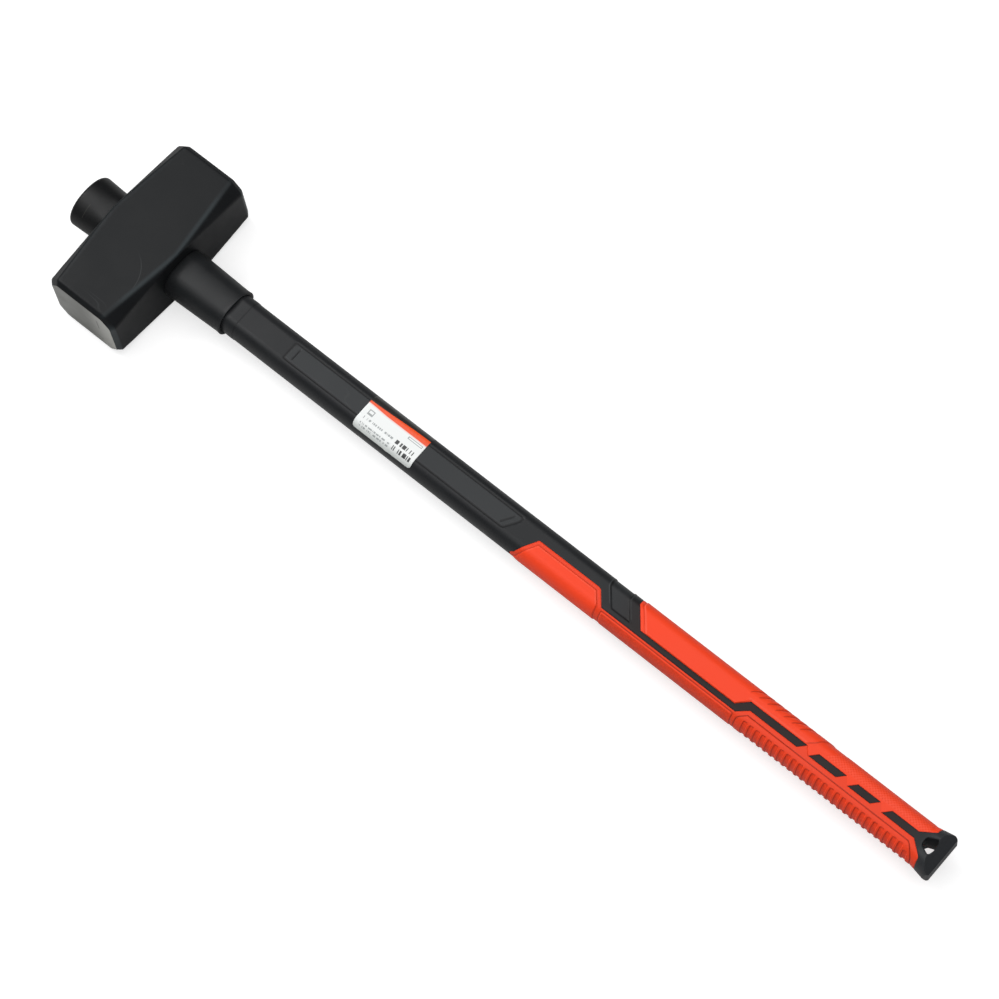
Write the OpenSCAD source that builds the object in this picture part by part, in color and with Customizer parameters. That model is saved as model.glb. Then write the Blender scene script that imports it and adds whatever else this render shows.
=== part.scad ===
// Double-faced sledge hammer on a moulded two-tone handle, lying on one side of its head.
// X runs along the handle from the head to the butt, Y along the head from face to face, Z up.
// The origin is on the surface that the head lies on, straight below the middle of the eye.
// Every section across the handle is a stadium: two half circles either side of a flat middle.

/* [Head] */
// Length of the head, striking face to striking face
head_length = 163; // [130:1:200]
// Width of the head along the handle
head_width = 72; // [58:1:84]
// Thickness of the head
head_thickness = 64; // [54:1:78]
// Width that a corner chamfer takes from a wide face at the head's ends
chamfer_width = 10; // [6:0.5:14]
// Depth that a corner chamfer takes from a narrow face at the head's ends
chamfer_depth = 11; // [6:0.5:14]
// Bevel round each striking face
face_bevel = 3.6; // [2:0.2:6]

/* [Handle] */
// Overall length, from the top of the handle to the butt
overall_length = 902.5; // [750:2.5:1080]
// Width of the handle, in the direction of the blow
handle_width = 36; // [30:0.5:44]
// Thickness of the handle
handle_thickness = 28; // [23:0.5:34]
// Height that the handle stands above the head
stub_height = 34.5; // [20:0.5:45]
// How far the handle's top stands wider than the handle, on each side
stub_swell = 6.6; // [5:0.2:9]
// How far the handle stands wider than below, where it leaves the head
neck_swell = 2.2; // [1:0.2:4]
// Thickness of the resin between handle and eye
resin_thickness = 0.8; // [0.4:0.1:2]
// Width of the glass fibre core
core_width = 24; // [16:1:26]
// Thickness of the glass fibre core
core_thickness = 16; // [10:1:18]

/* [Neck sleeve] */
// Length of the rubber sleeve below the head
sleeve_length = 60; // [40:1:90]
// Wall of the sleeve against the head
sleeve_wall_top = 2.6; // [2:0.2:6]
// Wall of the sleeve above its bead
sleeve_wall_low = 3.2; // [1.4:0.2:4]
// How far the bead stands out from the sleeve
bead_height = 0.7; // [0.4:0.1:2]
// Length of the bead
bead_length = 3.2; // [2:0.2:6]

/* [Grip] */
// Length of the soft grip, from its tip to the butt
grip_length = 425; // [340:5:500]
// Thickness of the soft grip
grip_thickness = 2.4; // [1.5:0.1:3.5]
// Number of finger ribs along the lower edge
rib_count = 26; // [12:1:30]
// Pitch of the finger ribs
rib_pitch = 6.15; // [5:0.05:7]
// Width of the groove between two ribs
rib_groove = 1.8; // [1:0.1:2.5]
// Depth of the grooves between ribs
rib_depth = 1.0; // [0.4:0.1:1.4]
// Number of thumb grooves along the upper edge
thumb_count = 7; // [3:1:10]
// Pitch of the thumb grooves
thumb_pitch = 8.1; // [6:0.1:10]

/* [Butt] */
// How far the butt stands wider than the handle, on each side
butt_swell = 2.8; // [1.5:0.1:5]
// Length of the flare that leads to the butt
flare_length = 14; // [8:1:24]
// Rounding of the butt's edge
butt_round = 4.5; // [2:0.5:6]
// Length of the hanging hole along the handle
hole_length = 12; // [9:0.5:14]
// Width of the hanging hole at its narrow end
hole_narrow = 6.4; // [5:0.2:8]
// Width of the hanging hole at its wide end
hole_wide = 16.4; // [10:0.2:18]

/* [Label] */
// Length of the label along the handle
label_length = 62; // [40:1:90]
// Distance from the middle of the eye to the label
label_start = 239; // [180:1:300]
// Thickness of the label
label_thickness = 0.25; // [0.15:0.05:0.4]

/* [Hidden] */
$fn = 96;

// Gap at each moulded or bonded seat, so that neighbours touch without cutting into each other.
seat_gap = 0.05;
// How far a cutting solid runs past the face that it cuts.
over = 1;
// A length larger than any piece, for cutting solids.
big = 400;

// The handle's axis runs through the middle of the head.
axis_z = head_thickness / 2;
// Radius of the handle's half circles, and half the distance between their centres.
handle_r = handle_thickness / 2;
flat_half = (handle_width - handle_thickness) / 2;
core_r = core_thickness / 2;
core_flat = (core_width - core_thickness) / 2;

// Places along the handle. A shallow groove ends the collar below the sleeve.
eye_top_x = -head_width / 2;
eye_low_x = head_width / 2;
top_x = eye_top_x - stub_height;
butt_x = top_x + overall_length;
flare_x = butt_x - flare_length - butt_round;
sleeve_end_x = eye_low_x + sleeve_length;
collar_length = 12;
collar_end_x = sleeve_end_x + collar_length;
groove_depth = 0.4;
groove_length = 1.2;
top_round = 3;

// Radii along the handle, which falls evenly from its top to the sleeve's end.
top_r = handle_r + stub_swell;
butt_r = handle_r + butt_swell;
neck_r = handle_r + neck_swell;
stub_slope = (top_r - neck_r) / (eye_low_x - top_x - top_round);
eye_top_r = neck_r + stub_slope * head_width;

// The core stops short of the hanging hole, and ends just inside the handle's top.
hole_wall = 7;
hole_end_x = butt_x - hole_wall;
hole_start_x = hole_end_x - hole_length;
hole_corner = 1.4;
core_recess = 0.5;
core_stop_x = hole_start_x - hole_wall;

// The grip's panel: its tip on the lower edge, its top line and its slanting end.
tip_x = butt_x - grip_length;
grip_inner_r = handle_r - grip_thickness;
tip_run = 17;
panel_top = 1.5;
panel_end_x = tip_x + 81;
half_width = handle_width / 2;
edge_y = half_width + butt_swell + over;

// The hard collar at the butt, and the hard dashes before it, counted back from the butt.
collar_run = 12;
collar_lip_x = butt_x - 14;
collar_x = collar_lip_x - collar_run;
collar_half = 3.5;
collar_lip_half = 11.5;
dash_gap = 11.3;
dash_a = 27.3;
dash_b = 22.3;
dash_c_x = collar_x - 32;
dash_b_x = dash_c_x - dash_gap - dash_b;
dash_a_x = dash_b_x - dash_gap - dash_a;
slant = 6;

// The hard stripe: low along the grip's first half, then up a jog to the handle's middle.
inlay_x = dash_a_x - dash_gap;
inlay_half = 3.2;
jog_x = inlay_x - 55.5;
jog_run = 9;
jog_shift = 4.5;
strip_low = -11;
strip_top = -6;
strip_x = panel_end_x + 11.5;
upper_x = panel_end_x + 47.5;
upper_run = 15;

// First finger rib, and the thumb grooves that slant across the upper edge.
rib_x = jog_x + 10;
thumb_x = jog_x - 0.6;
thumb_low = 9;
thumb_groove = 2;
thumb_depth = 0.9;
thumb_turn = -31;

// Sunk panel on both broad sides of the handle.
panel_x = collar_end_x + 50;
panel_far_x = tip_x - 13;
panel_half = 8.2;
panel_slant = 10;
panel_depth = 0.5;

// A solid with stadium sections along X: profile is a 2D shape in the plane of radius and X.
module stadium_body(half_flat) {
    translate([0, 0, axis_z]) rotate([0, 90, 0]) {
        for (side = [-1, 1])
            translate([0, side * half_flat, 0]) rotate_extrude() children();
        if (half_flat > 0)
            translate([0, half_flat, 0]) rotate([90, 0, 0]) linear_extrude(2 * half_flat) {
                children();
                mirror([1, 0]) children();
            }
    }
}

// A stretch of straight or tapered stadium between two places.
module stretch(x0, x1, r0, r1, half_flat = flat_half) {
    stadium_body(half_flat) polygon([[0, x0], [r0, x0], [r1, x1], [0, x1]]);
}

// Everything between two places that lies outside the section of radius r.
module outside(x0, x1, r, half_flat = flat_half) {
    difference() {
        translate([x0, -big, axis_z - big]) cube([x1 - x0, 2 * big, 2 * big]);
        stretch(x0 - over, x1 + over, r, r, half_flat);
    }
}

// An outline in X and Y carried through both broad sides of the handle.
module through(points) {
    translate([0, 0, axis_z - big / 2]) linear_extrude(big) polygon(points);
}

// One slanting cut that turns a corner of the head into a chamfer growing towards its end.
module corner_cut() {
    rise = chamfer_depth / chamfer_width;
    spread = chamfer_width / (head_length / 2);
    turn = atan(spread);
    lift = atan(1 / (rise * sqrt(1 + spread * spread)));
    translate([head_width / 2, 0, head_thickness / 2])
        rotate([0, -lift, turn])
            translate([0, -big, -big]) cube([big, 2 * big, 2 * big]);
}

// One flat cut that bevels an edge of the striking face whose side lies at the given distance.
module bevel_cut(reach) {
    translate([reach, head_length / 2 - face_bevel, 0]) rotate([0, 0, 45])
        translate([0, -big, -big]) cube([big, 2 * big, 2 * big]);
}

module head_block() {
    chamfer_angle = atan(chamfer_width / chamfer_depth);
    corner_reach = (head_width / 2 - chamfer_width) * cos(chamfer_angle)
        + head_thickness / 2 * sin(chamfer_angle);
    difference() {
        translate([-head_width / 2, -head_length / 2, -head_thickness / 2])
            cube([head_width, head_length, head_thickness]);
        for (end = [0, 1]) mirror([0, end, 0]) {
            for (side = [0, 1]) mirror([side, 0, 0]) {
                for (face = [0, 1]) mirror([0, 0, face]) {
                    corner_cut();
                    rotate([0, -chamfer_angle, 0]) bevel_cut(corner_reach);
                }
                bevel_cut(head_width / 2);
                rotate([0, 90, 0]) bevel_cut(head_thickness / 2);
            }
        }
    }
}

module head() {
    eye_gap = resin_thickness;
    color("dimgray") difference() {
        translate([0, 0, axis_z]) head_block();
        stretch(eye_top_x - over, eye_low_x + over,
                eye_top_r + stub_slope * over + eye_gap, neck_r - stub_slope * over + eye_gap);
    }
}

module eye_resin() {
    resin_top_r = eye_top_r - stub_slope * over;
    resin_low_r = neck_r + stub_slope * over;
    color("khaki") difference() {
        stretch(eye_top_x + over, eye_low_x - over,
                resin_top_r + resin_thickness - seat_gap, resin_low_r + resin_thickness - seat_gap);
        stretch(eye_top_x, eye_low_x, eye_top_r + seat_gap, neck_r + seat_gap);
    }
}

module core_rod() {
    color("gold") stretch(top_x + core_recess, core_stop_x, core_r, core_r, core_flat);
}

// The jacket's outline: cone through the head, neck, collar, straight handle, flare and butt.
module jacket_profile() {
    polygon([
        [0, top_x], [top_r - top_round, top_x], [top_r, top_x + top_round], [neck_r, eye_low_x],
        [handle_r, sleeve_end_x], [handle_r, collar_end_x],
        [handle_r - groove_depth, collar_end_x],
        [handle_r - groove_depth, collar_end_x + groove_length],
        [handle_r, collar_end_x + groove_length], [handle_r, flare_x],
        [butt_r, butt_x - butt_round], [butt_r - butt_round, butt_x], [0, butt_x]
    ]);
    translate([top_r - top_round, top_x + top_round]) circle(top_round);
    translate([butt_r - butt_round, butt_x - butt_round]) circle(butt_round);
}

// Everything that is soft grip when seen from a broad side.
module grip_outline() {
    difference() {
        through([
            [tip_x, -edge_y], [tip_x, -half_width], [tip_x + tip_run, panel_top],
            [panel_end_x, panel_top], [strip_x, strip_low], [upper_x, strip_low],
            [upper_x - upper_run, half_width], [upper_x - upper_run, edge_y], [collar_lip_x, edge_y],
            [collar_lip_x, collar_lip_half], [collar_x, collar_half],
            [collar_x, -collar_half], [collar_lip_x, -collar_lip_half], [collar_lip_x, -edge_y]
        ]);
        inlay_stripe();
        inlay_dash(dash_a_x, dash_a);
        inlay_dash(dash_b_x, dash_b);
        inlay_dash(dash_c_x, collar_lip_x - dash_c_x);
    }
}

// A bar along the handle's middle whose ends slant forwards.
module inlay_dash(x, length) {
    through([
        [x, -inlay_half], [x + slant, inlay_half],
        [x + slant + length, inlay_half], [x + length, -inlay_half]
    ]);
}

// The hard stripe, from its start beside the panel to its slanting end.
module inlay_stripe() {
    through([
        [strip_x, strip_low], [upper_x - slant, strip_top], [jog_x - jog_shift, strip_top],
        [jog_x - jog_shift + jog_run, inlay_half], [inlay_x + slant, inlay_half],
        [inlay_x, -inlay_half], [jog_x + jog_run, -inlay_half], [jog_x, strip_low]
    ]);
}

module hanging_hole() {
    translate([0, 0, axis_z - big / 2]) linear_extrude(big) {
        polygon([
            [hole_start_x, -hole_narrow / 2 + hole_corner], [hole_start_x + hole_corner, -hole_narrow / 2],
            [hole_end_x - hole_corner, -hole_wide / 2], [hole_end_x, -hole_wide / 2 + hole_corner],
            [hole_end_x, hole_wide / 2 - hole_corner], [hole_end_x - hole_corner, hole_wide / 2],
            [hole_start_x + hole_corner, hole_narrow / 2], [hole_start_x, hole_narrow / 2 - hole_corner]
        ]);
    }
}

module handle_jacket() {
    color([0.2, 0.22, 0.23]) difference() {
        stadium_body(flat_half) jacket_profile();
        intersection() {
            outside(tip_x - over, butt_x, grip_inner_r);
            grip_outline();
        }
        intersection() {
            outside(panel_x, panel_far_x + panel_slant, handle_r - panel_depth);
            through([
                [panel_x, -panel_half], [panel_x, panel_half],
                [panel_far_x + panel_slant, panel_half], [panel_far_x, -panel_half]
            ]);
        }
        stretch(top_x - over, core_stop_x + seat_gap, core_r + seat_gap, core_r + seat_gap, core_flat);
        hanging_hole();
    }
}

module grip() {
    color([1, 0.3, 0.15]) difference() {
        intersection() {
            stadium_body(flat_half) jacket_profile();
            grip_outline();
        }
        stretch(tip_x - over, butt_x + over, grip_inner_r + seat_gap, grip_inner_r + seat_gap);
        rib_grooves();
        thumb_grooves();
    }
}

// Straight notches across the lower edge, one between each two finger ribs.
module rib_grooves() {
    for (i = [0 : rib_count - 1])
        translate([rib_x + i * rib_pitch - rib_groove / 2, -edge_y, axis_z - handle_r])
            cube([rib_groove, edge_y - half_width + rib_depth, handle_thickness]);
}

// Slanting grooves of even depth round the upper edge.
module thumb_grooves() {
    intersection() {
        outside(tip_x, butt_x, handle_r - thumb_depth);
        for (i = [0 : thumb_count - 1])
            translate([thumb_x + i * thumb_pitch, thumb_low, axis_z]) rotate([0, 0, thumb_turn])
                translate([-thumb_groove / 2, 0, -big / 2]) cube([thumb_groove, edge_y, big]);
    }
}

module neck_sleeve() {
    sleeve_top_r = neck_r + sleeve_wall_top;
    sleeve_low_r = handle_r + sleeve_wall_low;
    bead_r = sleeve_low_r + bead_height;
    color([0.14, 0.15, 0.16]) difference() {
        stadium_body(flat_half) {
            polygon([
                [0, eye_low_x + seat_gap], [sleeve_top_r, eye_low_x + seat_gap],
                [sleeve_low_r, sleeve_end_x - bead_length], [sleeve_low_r, sleeve_end_x],
                [0, sleeve_end_x]
            ]);
            translate([bead_r - bead_length / 2, sleeve_end_x - bead_length / 2])
                circle(bead_length / 2);
        }
        stretch(eye_low_x, sleeve_end_x, neck_r + seat_gap, handle_r + seat_gap);
    }
}

module label() {
    label_edge = handle_thickness / 4;
    color("white") intersection() {
        difference() {
            stretch(label_start, label_start + label_length,
                    handle_r + seat_gap + label_thickness, handle_r + seat_gap + label_thickness);
            stretch(label_start - over, label_start + label_length + over,
                    handle_r + seat_gap, handle_r + seat_gap);
        }
        translate([label_start, -big, axis_z + label_edge]) cube([label_length, 2 * big, big]);
    }
}

head();
eye_resin();
core_rod();
handle_jacket();
grip();
neck_sleeve();
label();
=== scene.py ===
"""Finished looks for a double-faced sledge hammer with a moulded two-tone handle.

The handle's surface is unrolled into a chart. One chart direction, x, runs along the handle in
millimetres. The other, v, runs round it from the lower edge over a broad side to the upper edge,
and is nearly the length along the skin. Every pattern on the handle is a function of x and v.
"""

import math

import bmesh
import bpy
import numpy as np
from mathutils import Matrix, Vector


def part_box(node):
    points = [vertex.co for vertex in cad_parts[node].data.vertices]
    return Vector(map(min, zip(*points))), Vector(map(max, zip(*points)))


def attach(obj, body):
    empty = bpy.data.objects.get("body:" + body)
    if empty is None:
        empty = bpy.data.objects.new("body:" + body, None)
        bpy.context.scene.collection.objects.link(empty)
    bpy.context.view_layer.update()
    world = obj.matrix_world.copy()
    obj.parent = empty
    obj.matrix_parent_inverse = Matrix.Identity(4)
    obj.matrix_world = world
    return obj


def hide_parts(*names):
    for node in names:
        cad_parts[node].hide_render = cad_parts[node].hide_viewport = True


bl_info = {
    "name": "Sledge hammer finish",
    "version": (1, 0, 0),
    "blender": (4, 5, 0),
    "location": "View3D > Sidebar > Sledge hammer",
    "description": "Builds the forged head, moulded handle, soft grip and label round the fixed frame",
    "category": "Object",
}

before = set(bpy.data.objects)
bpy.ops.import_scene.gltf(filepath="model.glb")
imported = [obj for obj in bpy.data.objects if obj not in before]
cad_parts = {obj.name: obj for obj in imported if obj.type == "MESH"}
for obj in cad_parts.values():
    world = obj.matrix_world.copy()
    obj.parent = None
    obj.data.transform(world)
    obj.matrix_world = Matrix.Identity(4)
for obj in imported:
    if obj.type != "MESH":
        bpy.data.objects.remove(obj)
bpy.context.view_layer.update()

MM = 0.001
QUARTER = math.pi / 2


def node_box(node):
    """Lowest and highest corner of a frame node, in millimetres."""
    low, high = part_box(node)
    return np.array(low) / MM, np.array(high) / MM


HEAD_LOW, HEAD_HIGH = node_box("head")
JACKET_LOW, JACKET_HIGH = node_box("handle_jacket")
GRIP_LOW, _ = node_box("grip")
_, SLEEVE_HIGH = node_box("neck_sleeve")
LABEL_LOW, LABEL_HIGH = node_box("label")
CORE_LOW, CORE_HIGH = node_box("core_rod")

# Places along the handle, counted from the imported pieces.
AXIS_Z = (HEAD_LOW[2] + HEAD_HIGH[2]) / 2
TOP_X = JACKET_LOW[0]
BUTT_X = JACKET_HIGH[0]
TIP_X = GRIP_LOW[0]
EYE_X = HEAD_HIGH[0]
SLEEVE_END_X = SLEEVE_HIGH[0]
COLLAR_END_X = SLEEVE_END_X + 12
LIP_X = BUTT_X - 14
STRIPE_END_X = BUTT_X - 141.7
JOG_X = BUTT_X - 197.1
HOLE_START_X = BUTT_X - 18.9
HOLE_END_X = BUTT_X - 7.9
PANEL_START_X = COLLAR_END_X + 49.8
VALLEY_X = TIP_X + 86.6

# The section: a flat band, then an elliptical turn to each edge.
HALF_WIDTH = 18.0
DEEP = 14.0
FLAT = 8.0
SIDE = HALF_WIDTH - FLAT
TURN = 12.0
EDGE = FLAT + TURN * QUARTER
SEAT = 2.35

# Swell of the section over the straight handle.
TOP_SWELL = JACKET_HIGH[1] - HALF_WIDTH
NECK_SWELL = 2.2
BUTT_SWELL = 2.8
COLLAR_SWELL = 0.35
CORE_SWELL = -6.0
TOP_ROUND = 3.0

# The middle stripe and its dashes: (start of the lower edge, length of the lower edge).
STRIPE_HALF = 3.2
STRIPE_LOW = -11.0
STRIPE_TOP = -6.0
SLANT = 6.0
DASHES = ((BUTT_X - 130.3, 27.4), (BUTT_X - 91.7, 22.4))
LAST_DASH_X = BUTT_X - 58
COLLAR_X = BUTT_X - 26

# Where the upper grip starts, in plan.
UPPER_START = [(TIP_X + 110, HALF_WIDTH), (TIP_X + 112, 16.8), (TIP_X + 113.6, 10.8),
               (TIP_X + 128, STRIPE_TOP)]

# The finger pockets, thumb grooves and diamonds of the grip.
RIB_START_X = JOG_X + 12.1
RIB_PITCH = 6.15
RIB_COUNT = 27
RIB_HALF = 2.1
RIB_TURN = 1.3
RIB_TOP = -12.9
RIB_DEPTH = 0.85
THUMB_START_X = JOG_X - 0.4
THUMB_START_V = 9.4
THUMB_RUN = 12.5
THUMB_PITCH = 8.15
THUMB_COUNT = 7
DIAMOND_PITCH = 2.15


# ---------------------------------------------------------------- small functions of numbers

def smooth(t):
    """0 below 0, 1 above 1, and between them 3 t squared minus 2 t cubed."""
    t = np.clip(t, 0, 1)
    return t * t * (3 - 2 * t)


def bump(t):
    """A bell: 1 at 0, falling as e to the minus t squared."""
    return np.exp(-np.square(t))


def soft_min(p, q, width):
    """The smaller of p and q, with the corner between them rounded over width."""
    share = np.clip(0.5 + 0.5 * (q - p) / width, 0, 1)
    return q * (1 - share) + p * share - width * share * (1 - share)


def soft_least(width, *values):
    """The smallest of several values, rounded: minus width log of the sum of exp(-value / width)."""
    values = np.broadcast_arrays(*values)
    low = np.minimum.reduce(values)
    return low - width * np.log(sum(np.exp((low - value) / width) for value in values))


def across(y):
    """Chart place v of a plan place y: y itself on the flat band, then the turn's angle times TURN."""
    y = np.asarray(y, float)
    turn = np.arcsin(np.clip((np.abs(y) - FLAT) / SIDE, 0, 1))
    return np.sign(y) * (np.minimum(np.abs(y), FLAT) + TURN * turn)


def plan(v):
    """Plan place y of a chart place v, the inverse of across."""
    v = np.asarray(v, float)
    turn = np.clip((np.abs(v) - FLAT) / TURN, 0, QUARTER)
    return np.sign(v) * (np.minimum(np.abs(v), FLAT) + SIDE * np.sin(turn))


def stations(exact, spans):
    """Sorted places: the exact ones, and each span (start, end, step) evenly filled."""
    parts = [np.asarray(exact, float)]
    for start, end, step in spans:
        parts.append(np.linspace(start, end, max(2, int(round((end - start) / step)) + 1)))
    places = np.unique(np.round(np.concatenate(parts), 4))
    return places[np.concatenate([[True], np.diff(places) > 0.02])]


def distance_to(x, v, lines):
    """Shortest chart distance from each (x, v) to any segment of the given polylines."""
    best = np.full(np.broadcast(x, v).shape, 1e9)
    for line in lines:
        for (x0, v0), (x1, v1) in zip(line[:-1], line[1:]):
            dx, dv = x1 - x0, v1 - v0
            length = max(dx * dx + dv * dv, 1e-12)
            t = np.clip(((x - x0) * dx + (v - v0) * dv) / length, 0, 1)
            gap = np.hypot(x - x0 - t * dx, v - v0 - t * dv)
            best = np.minimum(best, gap)
    return best


def to_chart(line, step=2.0):
    """A plan polyline (x, y) as a chart polyline, cut finely where the section turns."""
    points = []
    for (x0, y0), (x1, y1) in zip(line[:-1], line[1:]):
        turning = max(abs(y0), abs(y1)) > FLAT
        count = max(1, int(math.hypot(x1 - x0, y1 - y0) / step)) if turning else 1
        for t in np.linspace(0, 1, count, endpoint=False):
            points.append((x0 + t * (x1 - x0), float(across(y0 + t * (y1 - y0)))))
    points.append((line[-1][0], float(across(line[-1][1]))))
    return points


# ---------------------------------------------------------------- the handle's surface

def on_handle(x, v, lift=0.0, swell=0.0, scale=1.0, side=1, rounding=0.0):
    """Place in space of chart place (x, v) on one broad side.

    On the flat band y is v and z is the half thickness. Past it, with turn the angle from 0 to a
    quarter circle, y is the band's edge plus a sin(turn) and z is b cos(turn), where a and b grow
    with the swell. The lift is added along the ellipse's normal, and scale shrinks the section.
    """
    x, v, lift, swell, scale = np.broadcast_arrays(x, v, lift, swell, scale)
    turn = np.clip((np.abs(v) - FLAT) / TURN, 0, QUARTER)
    a = SIDE + swell
    b = DEEP + swell
    y = np.minimum(np.abs(v), FLAT) + a * np.sin(turn)
    z = b * np.cos(turn)
    normal_y = np.sin(turn) / a
    normal_z = np.cos(turn) / b
    size = np.hypot(normal_y, normal_z)
    round_z = b * np.sqrt(np.maximum(1 - np.square(y / (FLAT + a)), 0))
    z = z + (round_z - z) * np.maximum(0.85 * smooth((-EYE_X - x) / 12), rounding)
    y = (y + lift * normal_y / size) * scale
    z = (z + lift * normal_z / size) * scale
    z = np.where(x > BUTT_X - 13, soft_min(z, facet_height(x), 0.5), z)
    y = np.where(x > BUTT_X - 8, soft_min(y, corner_reach(x), 0.8), y)
    z = np.maximum(z, 0)
    return np.stack([x, np.sign(v) * y, AXIS_Z + side * z], -1)


def facet_height(x):
    """Height of the slanting end facets: level with the skin at their start, then a straight fall."""
    return 15.4 - np.clip(x - (BUTT_X - 9), -6, 9) * 0.98


def corner_reach(x):
    """Half width that the butt's cut corners allow: full, then a straight fall to the end."""
    return HALF_WIDTH + BUTT_SWELL + 0.3 - np.clip(x - (BUTT_X - 4), 0, 4) * 0.78


def jacket_swell(x):
    """Straight lines between the top, the eye, the sleeve's end, the collar's step and the butt."""
    places = [TOP_X + TOP_ROUND, EYE_X, SLEEVE_END_X, SLEEVE_END_X + 6, COLLAR_END_X - 0.3,
              COLLAR_END_X + 0.5, BUTT_X - 18.5, BUTT_X - 4.5, BUTT_X]
    swells = [TOP_SWELL, NECK_SWELL, 0, COLLAR_SWELL, COLLAR_SWELL, 0, 0, BUTT_SWELL, BUTT_SWELL]
    return np.interp(x, places, swells)


def lower_line():
    """Plan line that bounds the lower grip from above, and runs on from dash to dash."""
    line = [(TIP_X + 0.2, -HALF_WIDTH), (TIP_X + 4.6, -17), (TIP_X + 7.8, -14), (TIP_X + 10.9, -9.2),
            (TIP_X + 17, 1.5), (TIP_X + 79.4, 1.5),
            (TIP_X + 81.6, 0.7), (TIP_X + 91.6, STRIPE_LOW), (JOG_X, STRIPE_LOW),
            (JOG_X + 8.9, -STRIPE_HALF), (STRIPE_END_X, -STRIPE_HALF),
            (STRIPE_END_X + SLANT, STRIPE_HALF)]
    for start, length in DASHES:
        line += [(start, -STRIPE_HALF), (start + length, -STRIPE_HALF),
                 (start + length + SLANT, STRIPE_HALF)]
    line += [(LAST_DASH_X, -STRIPE_HALF), (COLLAR_X, -STRIPE_HALF - 0.2),
             (LIP_X, -13.2), (LIP_X + 0.5, -HALF_WIDTH)]
    return line


def upper_line():
    """Plan line that bounds the upper grip from below, and runs on from dash to dash."""
    line = UPPER_START + [(JOG_X - 4.5, STRIPE_TOP), (JOG_X + 4.7, STRIPE_HALF),
                          (STRIPE_END_X + SLANT, STRIPE_HALF)]
    for start, length in DASHES:
        line += [(start, -STRIPE_HALF), (start + SLANT, STRIPE_HALF),
                 (start + length + SLANT, STRIPE_HALF)]
    line += [(LAST_DASH_X, -STRIPE_HALF), (LAST_DASH_X + SLANT, STRIPE_HALF),
             (COLLAR_X - 0.2, STRIPE_HALF), (LIP_X - 0.3, 11.3), (LIP_X + 0.4, HALF_WIDTH)]
    return line


def seam_lines():
    """Every line where soft grip meets hard jacket, in the chart."""
    low, up = lower_line(), upper_line()
    lines = [low[:13], up[:7]]
    for start, length in DASHES:
        lines.append([(start, -STRIPE_HALF), (start + length, -STRIPE_HALF),
                      (start + length + SLANT, STRIPE_HALF), (start + SLANT, STRIPE_HALF),
                      (start, -STRIPE_HALF)])
    lines.append(low[:-5:-1] + up[-5:])
    return [to_chart(line) for line in lines]


LOWER = lower_line()
UPPER = upper_line()
SEAMS = seam_lines()


def lower_bound(x):
    """Chart place of the lower grip's upper bound at each x."""
    return across(np.interp(x, *zip(*LOWER)))


def upper_bound(x):
    """Chart place of the upper grip's lower bound at each x."""
    return across(np.interp(x, *zip(*UPPER)))


def seam_rounding(gap, depth, width):
    """How far a skin dips as it nears a seam: depth at the seam, nothing past width."""
    return -depth * (1 - smooth(gap / width))


# ---------------------------------------------------------------- relief on the hard jacket, with its painted shade and highlight

def jacket_relief(x, v):
    """Lift and tone of the hard jacket: its sunk panel, its sunk pad and its rounded seams.

    A sunk field is a smooth step of its depth over the distance inside its outline. The tone is
    painted into the colour: painted shade where negative, in a groove, and painted highlight where
    positive, on a crest.
    """
    y = plan(v)
    panel_end = TIP_X - 13.4 + 0.64 * (y + 8.3)
    inside = soft_least(0.7, x - PANEL_START_X, 8.6 - np.abs(y), 0.84 * (panel_end - x), TIP_X - 4.9 - x)
    lift = -0.3 * smooth((inside + 0.1) / 0.9) - 0.42 * bump(inside / 0.62)
    # Painted shade along the panel's outline groove, and painted light over the panel's field.
    tone = -0.95 * bump((inside - 0.1) / 0.6) + 0.3 * smooth((inside - 0.8) / 0.5)
    marks = bump((x - PANEL_START_X - 6.9) / 0.55) + bump((x - panel_end + 6.8) / 0.65)
    marks *= smooth((5.6 - np.abs(y)) / 0.7)
    lift -= 0.42 * marks
    # Painted shade in the two cross marks.
    tone -= 0.9 * marks
    over = np.maximum(y - 7.7, 0)
    pad_start = TIP_X + 98.3 - 0.873 * (np.minimum(y, 7.7) + 6.7) - 0.2 * over
    pad_end = TIP_X + 117.7 - 0.86 * (np.minimum(y, 8.4) + 6.6) - 0.2 * np.maximum(y - 8.4, 0)
    inside = soft_least(0.35, 0.75 * (x - pad_start), 0.79 * (pad_end - x), y + 6.6)
    lift += sunk_field(inside, 0.55)
    # Painted highlight on the pad's upper rim, painted shade in its wall, painted light over its sunk
    # field.
    tone += 0.55 * bump((inside + 1.0) / 0.45) * smooth((y + 5) / 2) - 0.85 * bump(inside / 0.5)
    tone += 0.16 * smooth(inside / 0.6)
    gap = distance_to(x, v, SEAMS)
    # Painted shade line at the collar's step.
    ring = bump((x - COLLAR_END_X) / 0.7)
    return lift + seam_rounding(gap, 0.28, 0.5), tone - 0.25 * ring


def sunk_field(inside, depth):
    """A field sunk by depth, with a low ridge round it, from the distance inside its outline."""
    return -depth * smooth((inside + 0.1) / 0.9) + 0.14 * bump((inside + 0.55) / 0.4)


# ---------------------------------------------------------------- relief on the soft grip, with its painted shade and highlight

def raised_pad(inside, height, run):
    """A pad that rises over run from a fine valley along its outline."""
    return height * smooth(inside / run) - 0.22 * bump(inside / 0.38)


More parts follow.
